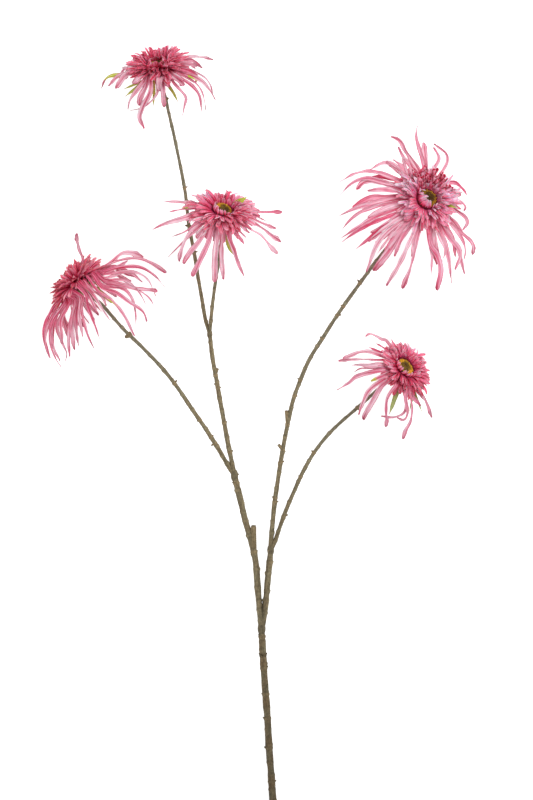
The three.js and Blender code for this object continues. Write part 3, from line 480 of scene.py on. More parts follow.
class Skin:
    """Collects closed tubes, whose rings run round a section, and makes one object of them."""

    def __init__(self):
        self.verts, self.faces, self.tints, self.details, self.cells = [], [], [], [], []
        self.count = 0

    def add(self, rings, tint, detail=(0.0, 0.0, 0.0)):
        """rings (M, R, 3) mm; tint, a linear colour for all or each of their points; detail, the three
        values for all or each of them that the shader reads."""
        m, r, _ = rings.shape
        index = self.count + np.arange(m * r).reshape(m, r)
        ahead = np.roll(index, -1, axis=1)
        quads = np.stack([index[:-1], ahead[:-1], ahead[1:], index[1:]], -1).reshape(-1, 4)
        self.verts.append(rings.reshape(-1, 3))
        self.tints.append(np.broadcast_to(tint, rings.shape).reshape(-1, 3))
        self.details.append(np.stack([np.broadcast_to(part, (m, r)) for part in detail], -1).reshape(-1, 3))
        self.faces += quads.tolist() + [index[0, ::-1].tolist(), index[-1].tolist()]
        self.cells.append((m, r))
        self.count += m * r

    def uv(self):
        """A cell of the unit square for each tube, its sides unrolled and its two ends in thin strips."""
        side = math.ceil(math.sqrt(len(self.cells)))
        out = []
        for k, (m, r) in enumerate(self.cells):
            u = np.arange(r + 1) / r
            v = END_STRIP + (1 - 2 * END_STRIP) * np.arange(m) / (m - 1)
            cell = np.stack(np.broadcast_arrays(
                np.stack([u[:-1], u[1:], u[1:], u[:-1]], -1)[None],
                np.stack([v[:-1], v[:-1], v[1:], v[1:]], -1)[:, None]), -1).reshape(-1, 2)
            angle = 2 * np.pi * u[:-1]
            end = np.stack([0.5 + 0.45 * np.cos(angle), END_STRIP / 3 + END_STRIP / 4 * np.sin(angle)], -1)
            cell = np.vstack([cell, end[::-1], end + (0, 1 - 2 * END_STRIP / 3)])
            place = np.array([k % side, k // side])
            out.append((place + CELL_MARGIN + (1 - 2 * CELL_MARGIN) * cell) / side)
        return np.vstack(out)

    def object(self, name, material):
        mesh = bpy.data.meshes.new(name)
        verts = (np.vstack(self.verts) + SHIFT) * MM
        verts[:, 2] = np.maximum(verts[:, 2], 0)
        mesh.from_pydata(verts.tolist(), [], self.faces)
        mesh.polygons.foreach_set("use_smooth", [True] * len(mesh.polygons))
        mesh.uv_layers.new(name="OFBake").data.foreach_set("uv", self.uv().ravel())
        tint = mesh.attributes.new("tint", "FLOAT_COLOR", "POINT")
        colours = np.vstack(self.tints)
        tint.data.foreach_set("color", np.hstack([colours, np.ones((len(colours), 1))]).ravel())
        detail = mesh.attributes.new("detail", "FLOAT_VECTOR", "POINT")
        detail.data.foreach_set("vector", np.vstack(self.details).ravel())
        mesh.materials.append(material)
        mesh.update()
        return linked(name, mesh)


def linked(name, data):
    """A new object in the scene."""
    made = bpy.data.objects.new(name, data)
    bpy.context.scene.collection.objects.link(made)
    return made


def spray_shift():
    """From the spray's directions to the frame, mm: the discs' middles lie on their heads' axes."""
    rows, places = [], []
    for head in HEADS:
        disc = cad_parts[f"disc_{head['id']}"].data
        middle = np.unique([np.round(v.co, 6) for v in disc.vertices], axis=0).mean(0) / MM
        rows += [[*np.eye(3)[k], head["face"][k]] for k in range(3)]
        places += list(middle - head["at"])
    return np.linalg.lstsq(np.array(rows), np.array(places), rcond=None)[0][:3]


SHIFT = spray_shift()
LATHE_ROUND = 36


def lathe(skin, head, profile, colour, sides=LATHE_ROUND):
    """A turned body on a head's axis."""
    turn = whole_turn(sides)
    out, up = np.array(profile, float).T[..., None]
    rings = head["at"] + out[..., None] * circle(turn, *head_axes(head))[None] + up[..., None] * head["face"]
    skin.add(rings, colour, (np.sin(turn), up, 0.0))


# ---- Ribbons: long petals, florets and bracts ----
ACROSS, RINGS = 9, 34  # points across one side of a ray petal, and along it
CM = 0.1  # the shader reads lengths along a piece in cm
RUFFLE, RUFFLE_PITCH = 0.5, 17  # height and spacing of the waves along a petal's edges
CREASE = 0.24  # depth of the fold along a petal's middle, share of its width
STREAK = 0.48  # strength of the lengthwise streaks: partly the petals' own, partly painted light and shade of their folds
TEETH = 3  # at a petal's tip
TIP_FROM = 0.8  # where along a petal its tip starts to round off
TWIST, WAVER = 0.7, 0.5  # how far a ray petal turns round its line, one way and to and fro
# the stretches of a ray petal over which its broad side turns up and its twist, unrolling and ruffle grow
LIFTING, TWISTING, UNROLLING, RUFFLING = (0.12, 0.5), (0.1, 0.5), (0.1, 0.6), (0.15, 0.5)
ROUND_OFF, TOOTH = 0.6, 0.12  # how far its tip is rounded and toothed, shares of its width
MADE_UP = 2.6  # up to this roll a petal is as much broader as its roll hides
RIM_ROSE, MIDDLE_SHADE_ROSE = 0.75, 0.55  # most rose along a petal's edges, and along its middle, where the rose is painted shade of its gutter
UNDER_ROSE, UNDER_UMBER = 0.3, 0.8  # how far its underside is rose, or umber
BRIGHTEST = 0.95


def ring_places(across):
    """Where the points of a ribbon's ring lie across it, over its top and back underneath."""
    u = np.linspace(-1, 1, across)
    return np.concatenate([u, u[-2:0:-1]])


def ribbon(centre, tangent, normal, side, width, roll, across, crease=0.0, ruffle=0.0, pull=0.0):
    """A thin closed ribbon: each section is an arc of the given developed width and roll, creased along
    its middle, its edges ruffled, its points pulled back along it. Returns the rings and, for each
    point, where it is across the ribbon (-1 to 1) and whether it is underneath."""
    ring_u = ring_places(across)
    under = np.concatenate([np.zeros(across), np.ones(across - 2)])
    roll = np.maximum(roll, 0.05)[:, None]
    width = width[:, None]
    angle = ring_u * roll / 2
    right = width / roll * np.sin(angle)
    high = width / roll * (1 - np.cos(angle)) + crease * width * np.abs(ring_u) + ruffle * ring_u**2
    half = np.minimum(PETAL_THICK, width * 0.3) / 2 * (1 - ring_u**4) * np.where(under, -1, 1)
    right = right - half * np.sin(angle)
    high = high + half * np.cos(angle)
    rings = centre[:, None] + right[..., None] * side[:, None] + high[..., None] * normal[:, None]
    back = np.broadcast_to(pull, right.shape)
    rings = rings - back[..., None] * tangent[:, None]
    return rings, np.broadcast_to(ring_u, right.shape), np.broadcast_to(under, right.shape)


def tip_pull(s, across, round_off, teeth, phase):
    """How far a ribbon's points are pulled back near its tip: rounded off, with small teeth."""
    u = ring_places(across)
    shape = round_off * u**2 + teeth * (0.5 - 0.5 * np.cos(np.pi * (TEETH * u + phase)))
    return smoothstep(TIP_FROM, 1, s)[:, None] * shape


def streaks(head, key, s, across, strength):
    """Lengthwise light and dark streaks that wander a little across a petal: partly its own colour, partly
    painted light and shade of its folds.
    """
    drift = 0.5 * s[:, None] * (draw(head, key, 81) - 0.5)
    broad = np.cos(np.pi * (1.4 * (across + drift) + 2 * draw(head, key, 82)))
    fine = np.cos(np.pi * (3.3 * (across - drift) + 2 * draw(head, key, 83)))
    return 1 + strength * (0.62 * broad + 0.38 * fine)


# ---- Ray petals ----
STEEP_FACE = 0.3  # a head that looks up less than this has its petals in an arch over the stem
# lightness of the petals behind the head: painted shade, as they lie under it
UNDER_SHADE_LIGHTNESS = 0.9
UNDER_LINE = [(0.75, 0.35), (1, 1)]  # shares of an under petal's reach, and of how far back it goes
UNDER_FORMS = ("blade", "point", "blunt", "spoon")


def petal_level(head, x, y):
    """How high over the disc a petal's point lies: on the head's plane or, where that is too steep, in
    an arch over the stem, and lower the further out it is."""
    nx, ny, nz = head["face"]
    reach = math.hypot(x, y)
    across = min(1, abs(nx * y - ny * x) / (reach * math.hypot(nx, ny)))
    level = -(nx * x + ny * y) / nz if nz > STEEP_FACE else FRONT_LIFT * math.sqrt(1 - across**2)
    return min(level, FRONT_LIFT) - UNDER_CROWN - SAG * (reach / SAG_REACH) ** 2


def route(head, outer, root, rim):
    """A petal's line: its root and rim on the head, then the outer points, given from the disc."""
    face = head["face"]
    first = np.array(outer[0], float)
    out = unit(first - face * first.dot(face))
    start = [out * distance + face * up for distance, up in (root, rim)]
    points = np.array([*start, *outer]) + head["at"]
    points[:, 2] = np.maximum(points[:, 2], head["floor"] + 0.2)
    return points


def add_petal(skin, head, key, kind, points, width, light=1.0):
    """One long petal: a limp ribbon that follows its line and turns its broad side up as it leaves."""
    form, _, tint = kind.partition(" ")
    blunt, (root_roll, tip_roll), widths = FORMS[form]
    s = tipward(RINGS)
    centre, length = spline(points, s)
    tangent, normal, _ = carried_frames(centre, head["face"])
    lift = smoothstep(*LIFTING, s) * (0.75 + 0.2 * draw(head, key, 51))
    skyward = np.array([0, 0, math.copysign(1, normal[len(s) // 2, 2])])
    normal = across_only(blend(normal, skyward, lift), tangent)
    turns, start = 0.5 + draw(head, key, 53), draw(head, key, 54)
    twist = TWIST * (draw(head, key, 52) - 0.5) + WAVER * np.sin(2 * np.pi * (turns * s + start))
    normal, side = twisted(tangent, normal, twist * smoothstep(*TWISTING, s))
    roll = root_roll + (tip_roll - root_roll) * smoothstep(*UNROLLING, s)
    roll = roll * (0.45 + 0.5 * draw(head, key, 55))
    seen_width = width * along_keys(widths, s)[:, 0]
    developed = seen_width * roll / 2 / np.sin(np.minimum(roll, MADE_UP) / 2)
    waves = 2 * np.pi * (s * length / RUFFLE_PITCH + draw(head, key, 59))
    edge = np.sign(ring_places(ACROSS))
    ruffle = RUFFLE * smoothstep(*RUFFLING, s)[:, None] * np.sin(waves[:, None] + 1.3 * edge)
    crease = CREASE * (0.4 + 0.9 * draw(head, key, 60))
    pull = tip_pull(s, ACROSS, blunt * width * ROUND_OFF, TOOTH * width, draw(head, key, 65))
    rings, across, under = ribbon(centre, tangent, normal, side, developed, roll, ACROSS, crease, ruffle,
                                  pull)
    colour = petal_colour(head, key, s, across, under, form, tint) * light * head["light"]
    skin.add(rings, colour, (across, s[:, None] * length * CM, draw(head, key, 56)))


def petal_colour(head, key, s, across, under, form, tint):
    """Rose at the root, pink and pale along the blade, dusty at the tip, in streaks; a rose middle of
    painted shade; darker under.
    """
    body = mix(PINK, PALE, draw(head, key, 57))
    if tint == "deep":
        body = 0.65 * ROSE + 0.35 * PINK
    tip = DUSTY * (0.8 + 0.5 * draw(head, key, 58))
    rosy = head["rosy"]
    keys = [(0, ROSE_ROOT), (0.14 * rosy, ROSE), (0.34 * rosy, 0.5 * (ROSE + body)), (0.55 * rosy, body),
            (0.8, body), (0.93, 0.6 * body + 0.4 * tip), (1, tip)]
    if tint == "lime":
        keys[4:] = [(0.78, body), (0.9, LIME), (1, LIME * 0.8)]
    if tint == "band":
        keys[3:] = [(0.5, body), (0.6, LIME), (0.76, LIME), (0.84, DUSTY), (1, UMBER)]
    if form == "thread":
        keys[-2:] = [(0.85, DUSTY), (1, UMBER * 0.8)]
    back, back_share = (UMBER * 0.9, UNDER_UMBER) if tint == "umber" else (ROSE, UNDER_ROSE)
    rim = RIM_ROSE * np.abs(across) ** 6 * draw(head, key, 86)
    # painted shade: rose along the hollow middle of the upper side
    middle = MIDDLE_SHADE_ROSE * np.exp(-(across * 4) ** 2) * (1 - under) * draw(head, key, 88)
    colour = blend(along_keys(keys, s)[:, None], back, back_share * under)
    colour = blend(blend(colour, ROSE, rim), ROSE, middle)
    patch = 1 + 0.1 * np.sin(2 * np.pi * (s * (1 + 2 * draw(head, key, 84)) + draw(head, key, 85)))
    shade = streaks(head, key, s, across, STREAK) * patch[:, None]
    return np.clip(colour ** (1 / shade[..., None]), 0, BRIGHTEST)


def add_under_petals(skin, head):
    """The petals behind the head, which it rests on: two for each of the solid's, darkened with painted
    shade.
    """
    under, face = head["under"], head["face"]
    down = unit(np.array([0, 0, -1]) + face * face[2])
    side = np.cross(face, down)
    behind = np.array([0, 0, -1.0]) if under["spread"] > LOOKING_UP else -face
    count = 2 * under["count"]
    for k in range(count):
        turn = under["spread"] * (2 * (k + 0.5) / count - 1) + 0.3 * (draw(head, k, 5) - 0.5)
        out = out_from((down, side), turn)
        long = under["reach"] * (0.82 + 0.26 * draw(head, k, 3))
        outer = [out * r * long + behind * b * under["back"] for r, b in UNDER_LINE]
        add_petal(skin, head, UNDER_KEY + k, UNDER_FORMS[k % 4], route(head, outer, UNDER_ROOT, UNDER_RIM),
                  UNDER_WIDTH * min(1, head["wide"]), UNDER_SHADE_LIGHTNESS)


def ray_piece(head, material):
    skin = Skin()
    lathe(skin, head, RECEPTACLE, ROSE_ROOT * 0.6)
    for k, (kind, width, *flat) in enumerate(RAYS[head["id"]]):
        depth = DEPTH_SPREAD * (draw(head, k, 1) - 0.6)
        points = pairs(flat)
        outer = [(x, y, petal_level(head, x, y) + depth * (i + 0.5) / len(points))
                 for i, (x, y) in enumerate(points)]
        line = route(head, outer, RAY_ROOTS[k % 2], RAY_RIMS[k % 2])
        add_petal(skin, head, k, kind, line, width * head["wide"])
    for k, (kind, width, *outer) in enumerate(FREE_RAYS.get(head["id"], [])):
        line = route(head, outer, RAY_ROOTS[1], RAY_RIMS[1])
        add_petal(skin, head, FREE_RAY_KEY + k, kind, line, width * head["wide"])
    add_under_petals(skin, head)
    return skin.object(f"ray_petals_{head['id']}", material)


# ---- Crown: rings of florets from the cup round the disc to the flat outer ones. out, up: where they
# leave the core; lean: how steeply; roll: into a gutter at root and tip; curl: how much they bend back ----
RING_NAMES = ("look", "count", "out", "up", "lean", "length", "width", "roll", "curl")
CROWN_RINGS = [dict(zip(RING_NAMES, values)) for values in [
    ("cup", 24, 9.9, -0.6, 1.5, 9.6, 3.6, (1.7, 1.4), -1.7),
    ("quill", 20, 11.4, -0.9, 1.2, 11, 3.5, (3.4, 2.2), 0.35),
    ("quill", 27, 11.6, -0.8, 0.98, 14, 3.5, (3.3, 2.1), 0.45),
    ("quill", 32, 11.6, -0.9, 0.78, 17, 3.6, (3.2, 2.0), 0.45),
    ("scoop", 35, 11.4, -1.2, 0.6, 19.5, 3.8, (2.9, 1.8), 0.4),
    ("scoop", 36, 11.3, -1.6, 0.43, 22, 4, (2.6, 1.6), 0.4),
    ("scoop", 34, 11.2, -2, 0.28, 23.5, 4.3, (2.3, 1.4), 0.35),
    ("skirt", 24, 10.8, -2.6, 0.12, 24.5, 5, (2.0, 1.2), 0.35),
]]
GAP_RING, YIELDING_RING = 1, 2  # with a gap at the side where the cup closes, and one that yields there
STEEPEST = 1.36
CROWN_SECTION = 7  # points across one side of a floret or bract
CROWN_STEPS = 12
CLUMP_LEAN, CLUMP_LIGHT_SHADE = 0.16, 0.2  # how much bunches of crown petals lean together, and how much painted light they have, with painted shade between them
LOWER_SIDE_SHADE, LOWER_SHADE_RICH = 0.22, 0.3  # how much darker and redder a crown is toward the cut end of the stem: painted shade on that side
LEAN_SCATTER = 0.6
GIVES_WAY = 0.5  # how much further back the yielding ring leans there
FLORET_SWING, FLORET_TWIST = 0.7, 2  # ranges of a floret's swing aside and of its turn round its line
CROWN_ROUND_OFF, CROWN_TOOTH, CROWN_CREASE = 0.32, 0.4, 0.1  # shares of a floret's width
TUBE_RINGS = (2, 3, 4, 5)
CLOSED_TUBE = 5.9  # how far a floret that stands as a tube is rolled
TUBE_LEAN, TUBE_LONG = 1.1, 10
TUBE_BRIGHTEST, CROWN_BRIGHTEST = 1.08, 0.96
CLOSED = 2  # a cup that leans in further than this hides the disc's rim, whose florets stay shut there
FLORET_WIDTH = [(0, 0.5), (0.45, 0.88), (0.85, 1), (1, 0.74)]
FLORET_TOPS = {  # the colours along a floret above its root, by its look
    "cup": [(0.3, RASPBERRY), (0.6, CROWN_ROSE), (1, CROWN_PINK)],
    "quill": [(0.4, RASPBERRY), (0.8, CROWN_ROSE), (1, CROWN_ROSE)],
    "scoop": [(0.35, RASPBERRY), (0.66, CROWN_ROSE), (0.94, CROWN_PINK), (1, CROWN_ROSE)],
    "skirt": [(0.35, RASPBERRY), (0.6, CROWN_ROSE), (0.85, CROWN_PINK), (1, CROWN_PINK)],
}


def clump(head, turn, use):
    """How far a place round a head is inside a bunch of crown petals: -1 to 1."""
    wide, narrow = 2 * math.pi * draw(head, 1, use), 2 * math.pi * draw(head, 2, use)
    return 0.6 * math.sin(3 * turn + wide) + 0.4 * math.sin(7 * turn + narrow)


def toward_cup(head, turn, axes):
    """How far round a head a place is toward the side where the cup closes over the disc: -1 to 1."""
    return head["cup"]["side"].dot(out_from(axes, turn)[:2])


def floret_stance(head, row, key, turn, axes, tube):
    """Where a floret leaves the core (out, up), how steeply, and how long it is."""
    ring, crown, cup = CROWN_RINGS[row], head["crown"], head["cup"]
    scatter = draw(head, key, 22) - 0.5
    steep = ring["lean"] / STEEPEST
    long = ring["length"] * crown["size"] * (0.76 + 0.34 * draw(head, key, 21))
    lean = ring["lean"] * crown["steepness"] - crown["droop"] * (1 - steep) + LEAN_SCATTER * scatter
    lean += CLUMP_LEAN * clump(head, turn + 0.4 * row, 94)
    closing = toward_cup(head, turn, axes)
    if row == YIELDING_RING:
        lean -= GIVES_WAY * smoothstep(0, 0.5, closing)
    if ring["look"] == "cup":
        lean = cup["far"] + (cup["near"] - cup["far"]) * smoothstep(-0.4, 0.6, closing) + 0.2 * scatter
        long *= cup["longer"]
    long *= 1 + head["tall"] * steep**2
    long *= 1 + np.dot(head["sway"], out_from(axes, turn)[:2])
    start = np.array([ring["out"], ring["up"]])
    if tube:
        mouth = start + long * np.array([math.cos(lean), math.sin(lean)])
        lean, long = TUBE_LEAN + 0.5 * scatter, TUBE_LONG * (0.8 + 0.4 * draw(head, key, 21))
        start = mouth - long * np.array([math.cos(lean), math.sin(lean)])
    return start, lean, long


def add_floret(skin, head, row, k, turn, axes):
    """One crown floret: an arc in the plane of the head's axis, rolled into a quill, a scoop or a tube."""
    ring, face = CROWN_RINGS[row], head["face"]
    key = FLORET_KEY + 50 * row + k
    outward = out_from(axes, turn)[:2]
    tube = float(row in TUBE_RINGS and np.dot(head["tubes"], outward) > 0.3 + 0.5 * draw(head, key, 33))
    start, lean, long = floret_stance(head, row, key, turn, axes, tube)
    s = np.linspace(0, 1, CROWN_STEPS)
    angle = lean + ring["curl"] * (0.5 - s) * (0.6 + 0.8 * draw(head, key, 23))
    yaw = turn + FLORET_SWING * (draw(head, key, 24) - 0.5) * s * s * long / (start[0] + long)
    step = long / (CROWN_STEPS - 1)
    out = start[0] + np.concatenate([[0], np.cumsum(step * np.cos(angle[1:]))])
    up = start[1] + np.concatenate([[0], np.cumsum(step * np.sin(angle[1:]))])
    radial = circle(yaw, *axes)
    centre = head["at"] + out[:, None] * radial + up[:, None] * face
    tangent = tangents(centre)
    normal = across_only(np.cos(angle)[:, None] * face - np.sin(angle)[:, None] * radial, tangent)
    normal, side = twisted(tangent, normal, FLORET_TWIST * (draw(head, key, 25) - 0.5) * s)
    width = ring["width"] * along_keys(FLORET_WIDTH, s)[:, 0] * (0.8 + 0.4 * draw(head, key, 29))
    width = width * (1 + tube * (1.5 + 0.7 * s**3))
    root_roll, tip_roll = ring["roll"]
    roll = mix(root_roll + (tip_roll - root_roll) * smoothstep(0.3, 1, s), CLOSED_TUBE, tube)
    pull = tip_pull(s, CROWN_SECTION, CROWN_ROUND_OFF * ring["width"], CROWN_TOOTH * ring["width"],
                    draw(head, key, 31))
    rings, across, under = ribbon(centre, tangent, normal, side, width, roll, CROWN_SECTION,
                                  crease=CROWN_CREASE, pull=pull)
    outer = row > YIELDING_RING
    # painted light on the bunches, painted shade between them and on the side toward the cut end
    bunch = 1 + CLUMP_LIGHT_SHADE * clump(head, turn + 0.2 * row, 95)
    bunch *= 1 + LOWER_SIDE_SHADE * outer * outward[1]
    rich = head["rich"] + LOWER_SHADE_RICH * outer * smoothstep(0, 0.7, -outward[1])
    # the painted shade of the crown's depth at the floret roots is eased on the side away from the cup
    less_root_shade = 0.8 * smoothstep(-0.3, 0.3, -toward_cup(head, turn, axes)) * (head["cup"]["near"] > CLOSED)
    colour = floret_colour(head, key, s, across, under, ring["look"], bunch, tube, less_root_shade, rich)
    skin.add(rings, colour, (across, s[:, None] * long * CM, draw(head, key, 26)))


def floret_colour(head, key, s, across, under, look, bunch, tube, less_root_shade, rich):
    """Painted shade of crimson in the depth and along the hollow, painted highlights of pink where the edges
    and tips catch the light.
    """
    cup = look == "cup"
    keys = [(0, mix(CRIMSON, CROWN_ROSE, less_root_shade))] + FLORET_TOPS[look]
    # painted shade along the hollow, into the throat of a tube
    hollow = (1 - under) * (1 - across**2 * (1 - tube)) * smoothstep(0.4, 0.9, s)[:, None]
    hollow = hollow * (0.1 if cup else max(0.95 * tube, 0.75 * draw(head, key, 87)))
    outside = (0.2 if cup else 0.4 + 0.4 * tube) * under * smoothstep(0.3, 0.7, s)[:, None]
    # painted highlight along the edges toward the tip
    edge = np.abs(across) ** 3 * smoothstep(0.35, 0.85, s)[:, None] * (0.3 + 0.6 * draw(head, key, 32))
    colour = blend(along_keys(keys, s)[:, None], mix(CRIMSON, THROAT, tube), hollow)
    colour = blend(colour, mix(CROWN_PINK, CROWN_WALL, tube), outside)
    colour = blend(colour, CROWN_EDGE_HIGHLIGHT, edge * (1 - 0.6 * tube))
    colour = mix(colour, RASPBERRY, rich)
    colour = blend(colour, TIP_ROSE, head["tips"] * smoothstep(0.7, 1, s)[:, None])
    tone = 0.76 + 0.72 * draw(head, key, 27)
    level = math.sqrt(tone * bunch * head["tone"] * (head["cup"]["light"] if cup else 1))
    level = mix(level, min(level, TUBE_BRIGHTEST), tube)
    shade = level * streaks(head, key, s, across, STREAK)
    return np.minimum(colour ** (1 / shade[..., None]) * level * CROWN_WARMTH, CROWN_BRIGHTEST)


def crown_piece(head, material):
    skin = Skin()
    # the core painted dark crimson as the shade deep among the florets
    lathe(skin, head, CROWN_CORE, CRIMSON * 0.4)
    axes = head_axes(head)
    for row, ring in enumerate(CROWN_RINGS):
        for k in range(ring["count"]):
            wobble = 0.34 * (draw(head, k, 28) - 0.5)
            turn = 2 * math.pi * (k + 0.5 * (row % 2) + wobble) / ring["count"]
            if row == GAP_RING and toward_cup(head, turn, axes) > head["cup"]["gap"]:
                continue
            add_floret(skin, head, row, k, turn, axes)
    return skin.object(f"crown_petals_{head['id']}", material)


# ---- Disc: tiny closed florets in a spiral, yellow open ones round the rim ----
DISC_FLORETS = 210
DISC_RADIUS = 8.3
RIM_NARROWS, RIM_WIDENS = 0.07, 0.16
RIM_WIDE_SIDES = (0.7, -0.71)  # the rim's open florets reach further in along this direction
BLOTCH = 1.7  # size of the green and brown patches of a disc
GOLDEN = math.pi * (3 - math.sqrt(5))
BED_ROUND, DISC_ROUND = 30, 6  # points round the bed and round a floret
SHUT_GIRTH, OPEN_GIRTH = 0.42, 0.12  # of a disc floret, and how much it gains where it is open
RIM_TALLER = 1.1  # how much taller the florets get toward the rim
FLORET_ALONG, FLORET_GIRTHS = (0, 0.45, 0.8, 1), (0.8, 1, 0.95)  # its rings, and their girths below the top


def open_share(head, k, share, turn, axes):
    """How far a disc floret is open: those near the rim are, but not where the cup closes over them."""
    flat, gaze = out_from(axes, turn)[:2], head["face"][:2]
    across = abs(np.dot(flat, gaze)) / np.linalg.norm(gaze) / max(np.linalg.norm(flat), 0.01)
    uneven = RIM_NARROWS * across**2 + 0.05 * math.sin(5 * turn + head["id"])
    uneven -= RIM_WIDENS * np.dot(unit(flat), RIM_WIDE_SIDES) ** 4
    opened = smoothstep(0.7, 0.9, share - uneven + 0.14 * (draw(head, k, 61) - 0.5))
    covered = smoothstep(0.25, 0.6, toward_cup(head, turn, axes)) * (head["cup"]["near"] > CLOSED)
    return opened * (1 - covered)


def disc_colour(head, k, radius, turn, opened):
    """Brown and olive in patches where a floret is shut, yellow where it is open."""
    fresh, x, y = head["eye"]["fresh"], radius * math.cos(turn), radius * math.sin(turn)
    blotch = 0.5 + 0.5 * math.sin(x / BLOTCH + head["id"]) * math.sin(y / BLOTCH)
    bud = mix(DISC_DARK, DISC_OLIVE, min(1, 0.4 * draw(head, k, 63) + 1.1 * blotch**1.4 * fresh))
    rim_light = 0.55 + 0.45 * min(1, fresh)
    return mix(bud, DISC_YELLOW * (0.6 + 0.6 * draw(head, k, 64)) * rim_light, opened)


def disc_piece(head, material):
    skin = Skin()
    gaze = head["gaze"]
    head = dict(head, face=gaze, at=head["at"] - gaze * head["eye"]["sunk"])
    lathe(skin, head, DISC_BED, DISC_DARK, BED_ROUND)
    axes = head_axes(head)
    along = np.array(FLORET_ALONG)[:, None, None]
    for k in range(DISC_FLORETS):
        share = math.sqrt((k + 0.5) / DISC_FLORETS)
        radius, turn = DISC_RADIUS * share, k * GOLDEN
        radial = out_from(axes, turn)
        opened = open_share(head, k, share, turn, axes)
        foot = head["at"] + radial * radius + gaze * (1.2 - 1.5 * max(0, share - 0.8))
        lean = unit(gaze + radial * (0.1 + 0.55 * share**3))
        tall = (1 + RIM_TALLER * share**2) * (0.8 + 0.4 * draw(head, k, 62))
        girth = (SHUT_GIRTH + OPEN_GIRTH * opened) * np.array([*FLORET_GIRTHS, 0.45 + 0.3 * opened])
        x = unit(np.cross(lean, radial))
        section = circle(whole_turn(DISC_ROUND), x, np.cross(lean, x))
        rings = foot + along * tall * lean + girth[:, None, None] * section
        # each floret painted darker toward its foot: painted shade among the packed florets
        skin.add(rings, disc_colour(head, k, radius, turn, opened) * (0.45 + 0.55 * along))
    return skin.object(f"disc_florets_{head['id']}", material)


# ---- Calyx: a cup of overlapping green scales, and the bracts that show ----
SCALE_ROWS = [  # count, out, up, lean, length
    (14, 7.4, -10, 0.9, 9), (13, 6.4, -11.6, 0.75, 9), (11, 4.6, -13.4, 0.6, 8)]
SCALE_WIDTH, SCALE_RISE = 3.2, 0.4
SCALE_SUNK = (1.2, 0.6)  # how far its foot is inside the cup: toward the axis, and back
SCALE_LINE = [(0, 0), (0.5, 0.6), (1, 1.6)]  # share of its length, and how far back it bends there
BRACT_FORM = [(0, 0.7), (0.45, 1), (0.75, 0.75), (1, 0.1)]  # its width along it
BRACT_RINGS, BRACT_ROLL, BRACT_CREASE = 18, 0.9, 0.15
MIDRIB = 0.2  # half its breadth, against the bract's


def add_bract(skin, head, key, points, width, show=False, tip=TIP_BROWN):
    """A narrow green bract with a pale midrib and painted shade on its underside; one that shows turns its
    broad side up and is limier.
    """
    s = tipward(BRACT_RINGS)
    centre, length = spline(points, s)
    tangent, normal, side = carried_frames(centre, head["face"])
    if show:
        normal = across_only(blend(normal, np.array([0, 0, 1]), smoothstep(0.3, 0.6, s)), tangent)
        side = np.cross(tangent, normal)
    wide, roll = width * along_keys(BRACT_FORM, s)[:, 0], np.full(len(s), BRACT_ROLL)
    rings, across, under = ribbon(centre, tangent, normal, side, wide, roll, CROWN_SECTION, BRACT_CREASE)
    lime = 0.4 + 0.6 * draw(head, key, 73) if show else draw(head, key, 73)
    leaf = LEAVES.get(head["id"], LIME)
    body = mix(OLIVE_GREEN, leaf, lime) if show else OLIVE_GREEN
    keys = [(0, OLIVE_GREEN * 0.7), (0.3, body), (0.7, 0.5 * (body + leaf)), (0.9, leaf), (1, tip)]
    if tip is FRESH_LIME:
        keys[2:] = [(0.6, tip), (1, tip)]
    colour = blend(along_keys(keys, s)[:, None], PALE_GREEN, 0.5 * (np.abs(across) < MIDRIB))
    # painted shade: the underside three quarters as light
    skin.add(rings, colour * (1 - 0.25 * under[..., None]), (across, s[:, None] * length * CM, lime))


def calyx_piece(head, material):
    skin = Skin()
    lathe(skin, head, CALYX_CUP, OLIVE_GREEN * 0.8)
    axes, face = head_axes(head), head["face"]
    for row, (count, out, up, lean, length) in enumerate(SCALE_ROWS):
        for k in range(count):
            key = SCALE_KEY + 20 * row + k
            turn = 2 * math.pi * (k + 0.5 * row + 0.3 * (draw(head, key, 71) - 0.5)) / count
            radial = out_from(axes, turn)
            tilt = lean + 0.5 * (draw(head, key, 72) - 0.5)
            start = head["at"] + radial * (out - SCALE_SUNK[0]) + face * (up - SCALE_SUNK[1])
            direction = radial * math.cos(tilt) + face * math.sin(tilt) * SCALE_RISE
            line = [start + direction * length * share - face * drop for share, drop in SCALE_LINE]
            add_bract(skin, head, key, line, SCALE_WIDTH)
    for k, (width, *flat) in enumerate(BRACTS[head["id"]]):
        outer = [(x, y, petal_level(head, x, y) - BRACT_DROP) for x, y in pairs(flat)]
        add_bract(skin, head, BRACT_KEY + k, route(head, outer, BRACT_ROOT, BRACT_RIM), width, show=True)
    for k, (width, *outer) in enumerate(FREE_BRACTS.get(head["id"], [])):
        line = route(head, outer, BRACT_ROOT, BRACT_RIM)
        add_bract(skin, head, FREE_BRACT_KEY + k, line, width, show=True, tip=FRESH_LIME)
    return skin.object(f"green_bracts_{head['id']}", material)


# ---- Stem ----
STEM_ROUND, STEM_PITCH = 22, 1.1  # points round it, and the distance between its rings
# for each branch, the side on which its neighbour lies (1 is +X) and how far along they touch, for the
# painted shade in the cleft between them
SHADED_CLEFTS = [(0, 1), (1, 46), (1, 14), (-1, 14), (1, 12), (-1, 12), (-1, 46), (1, 14), (-1, 14)]
SCAR_GAP = 13  # mean distance between the leaf scars along the stem
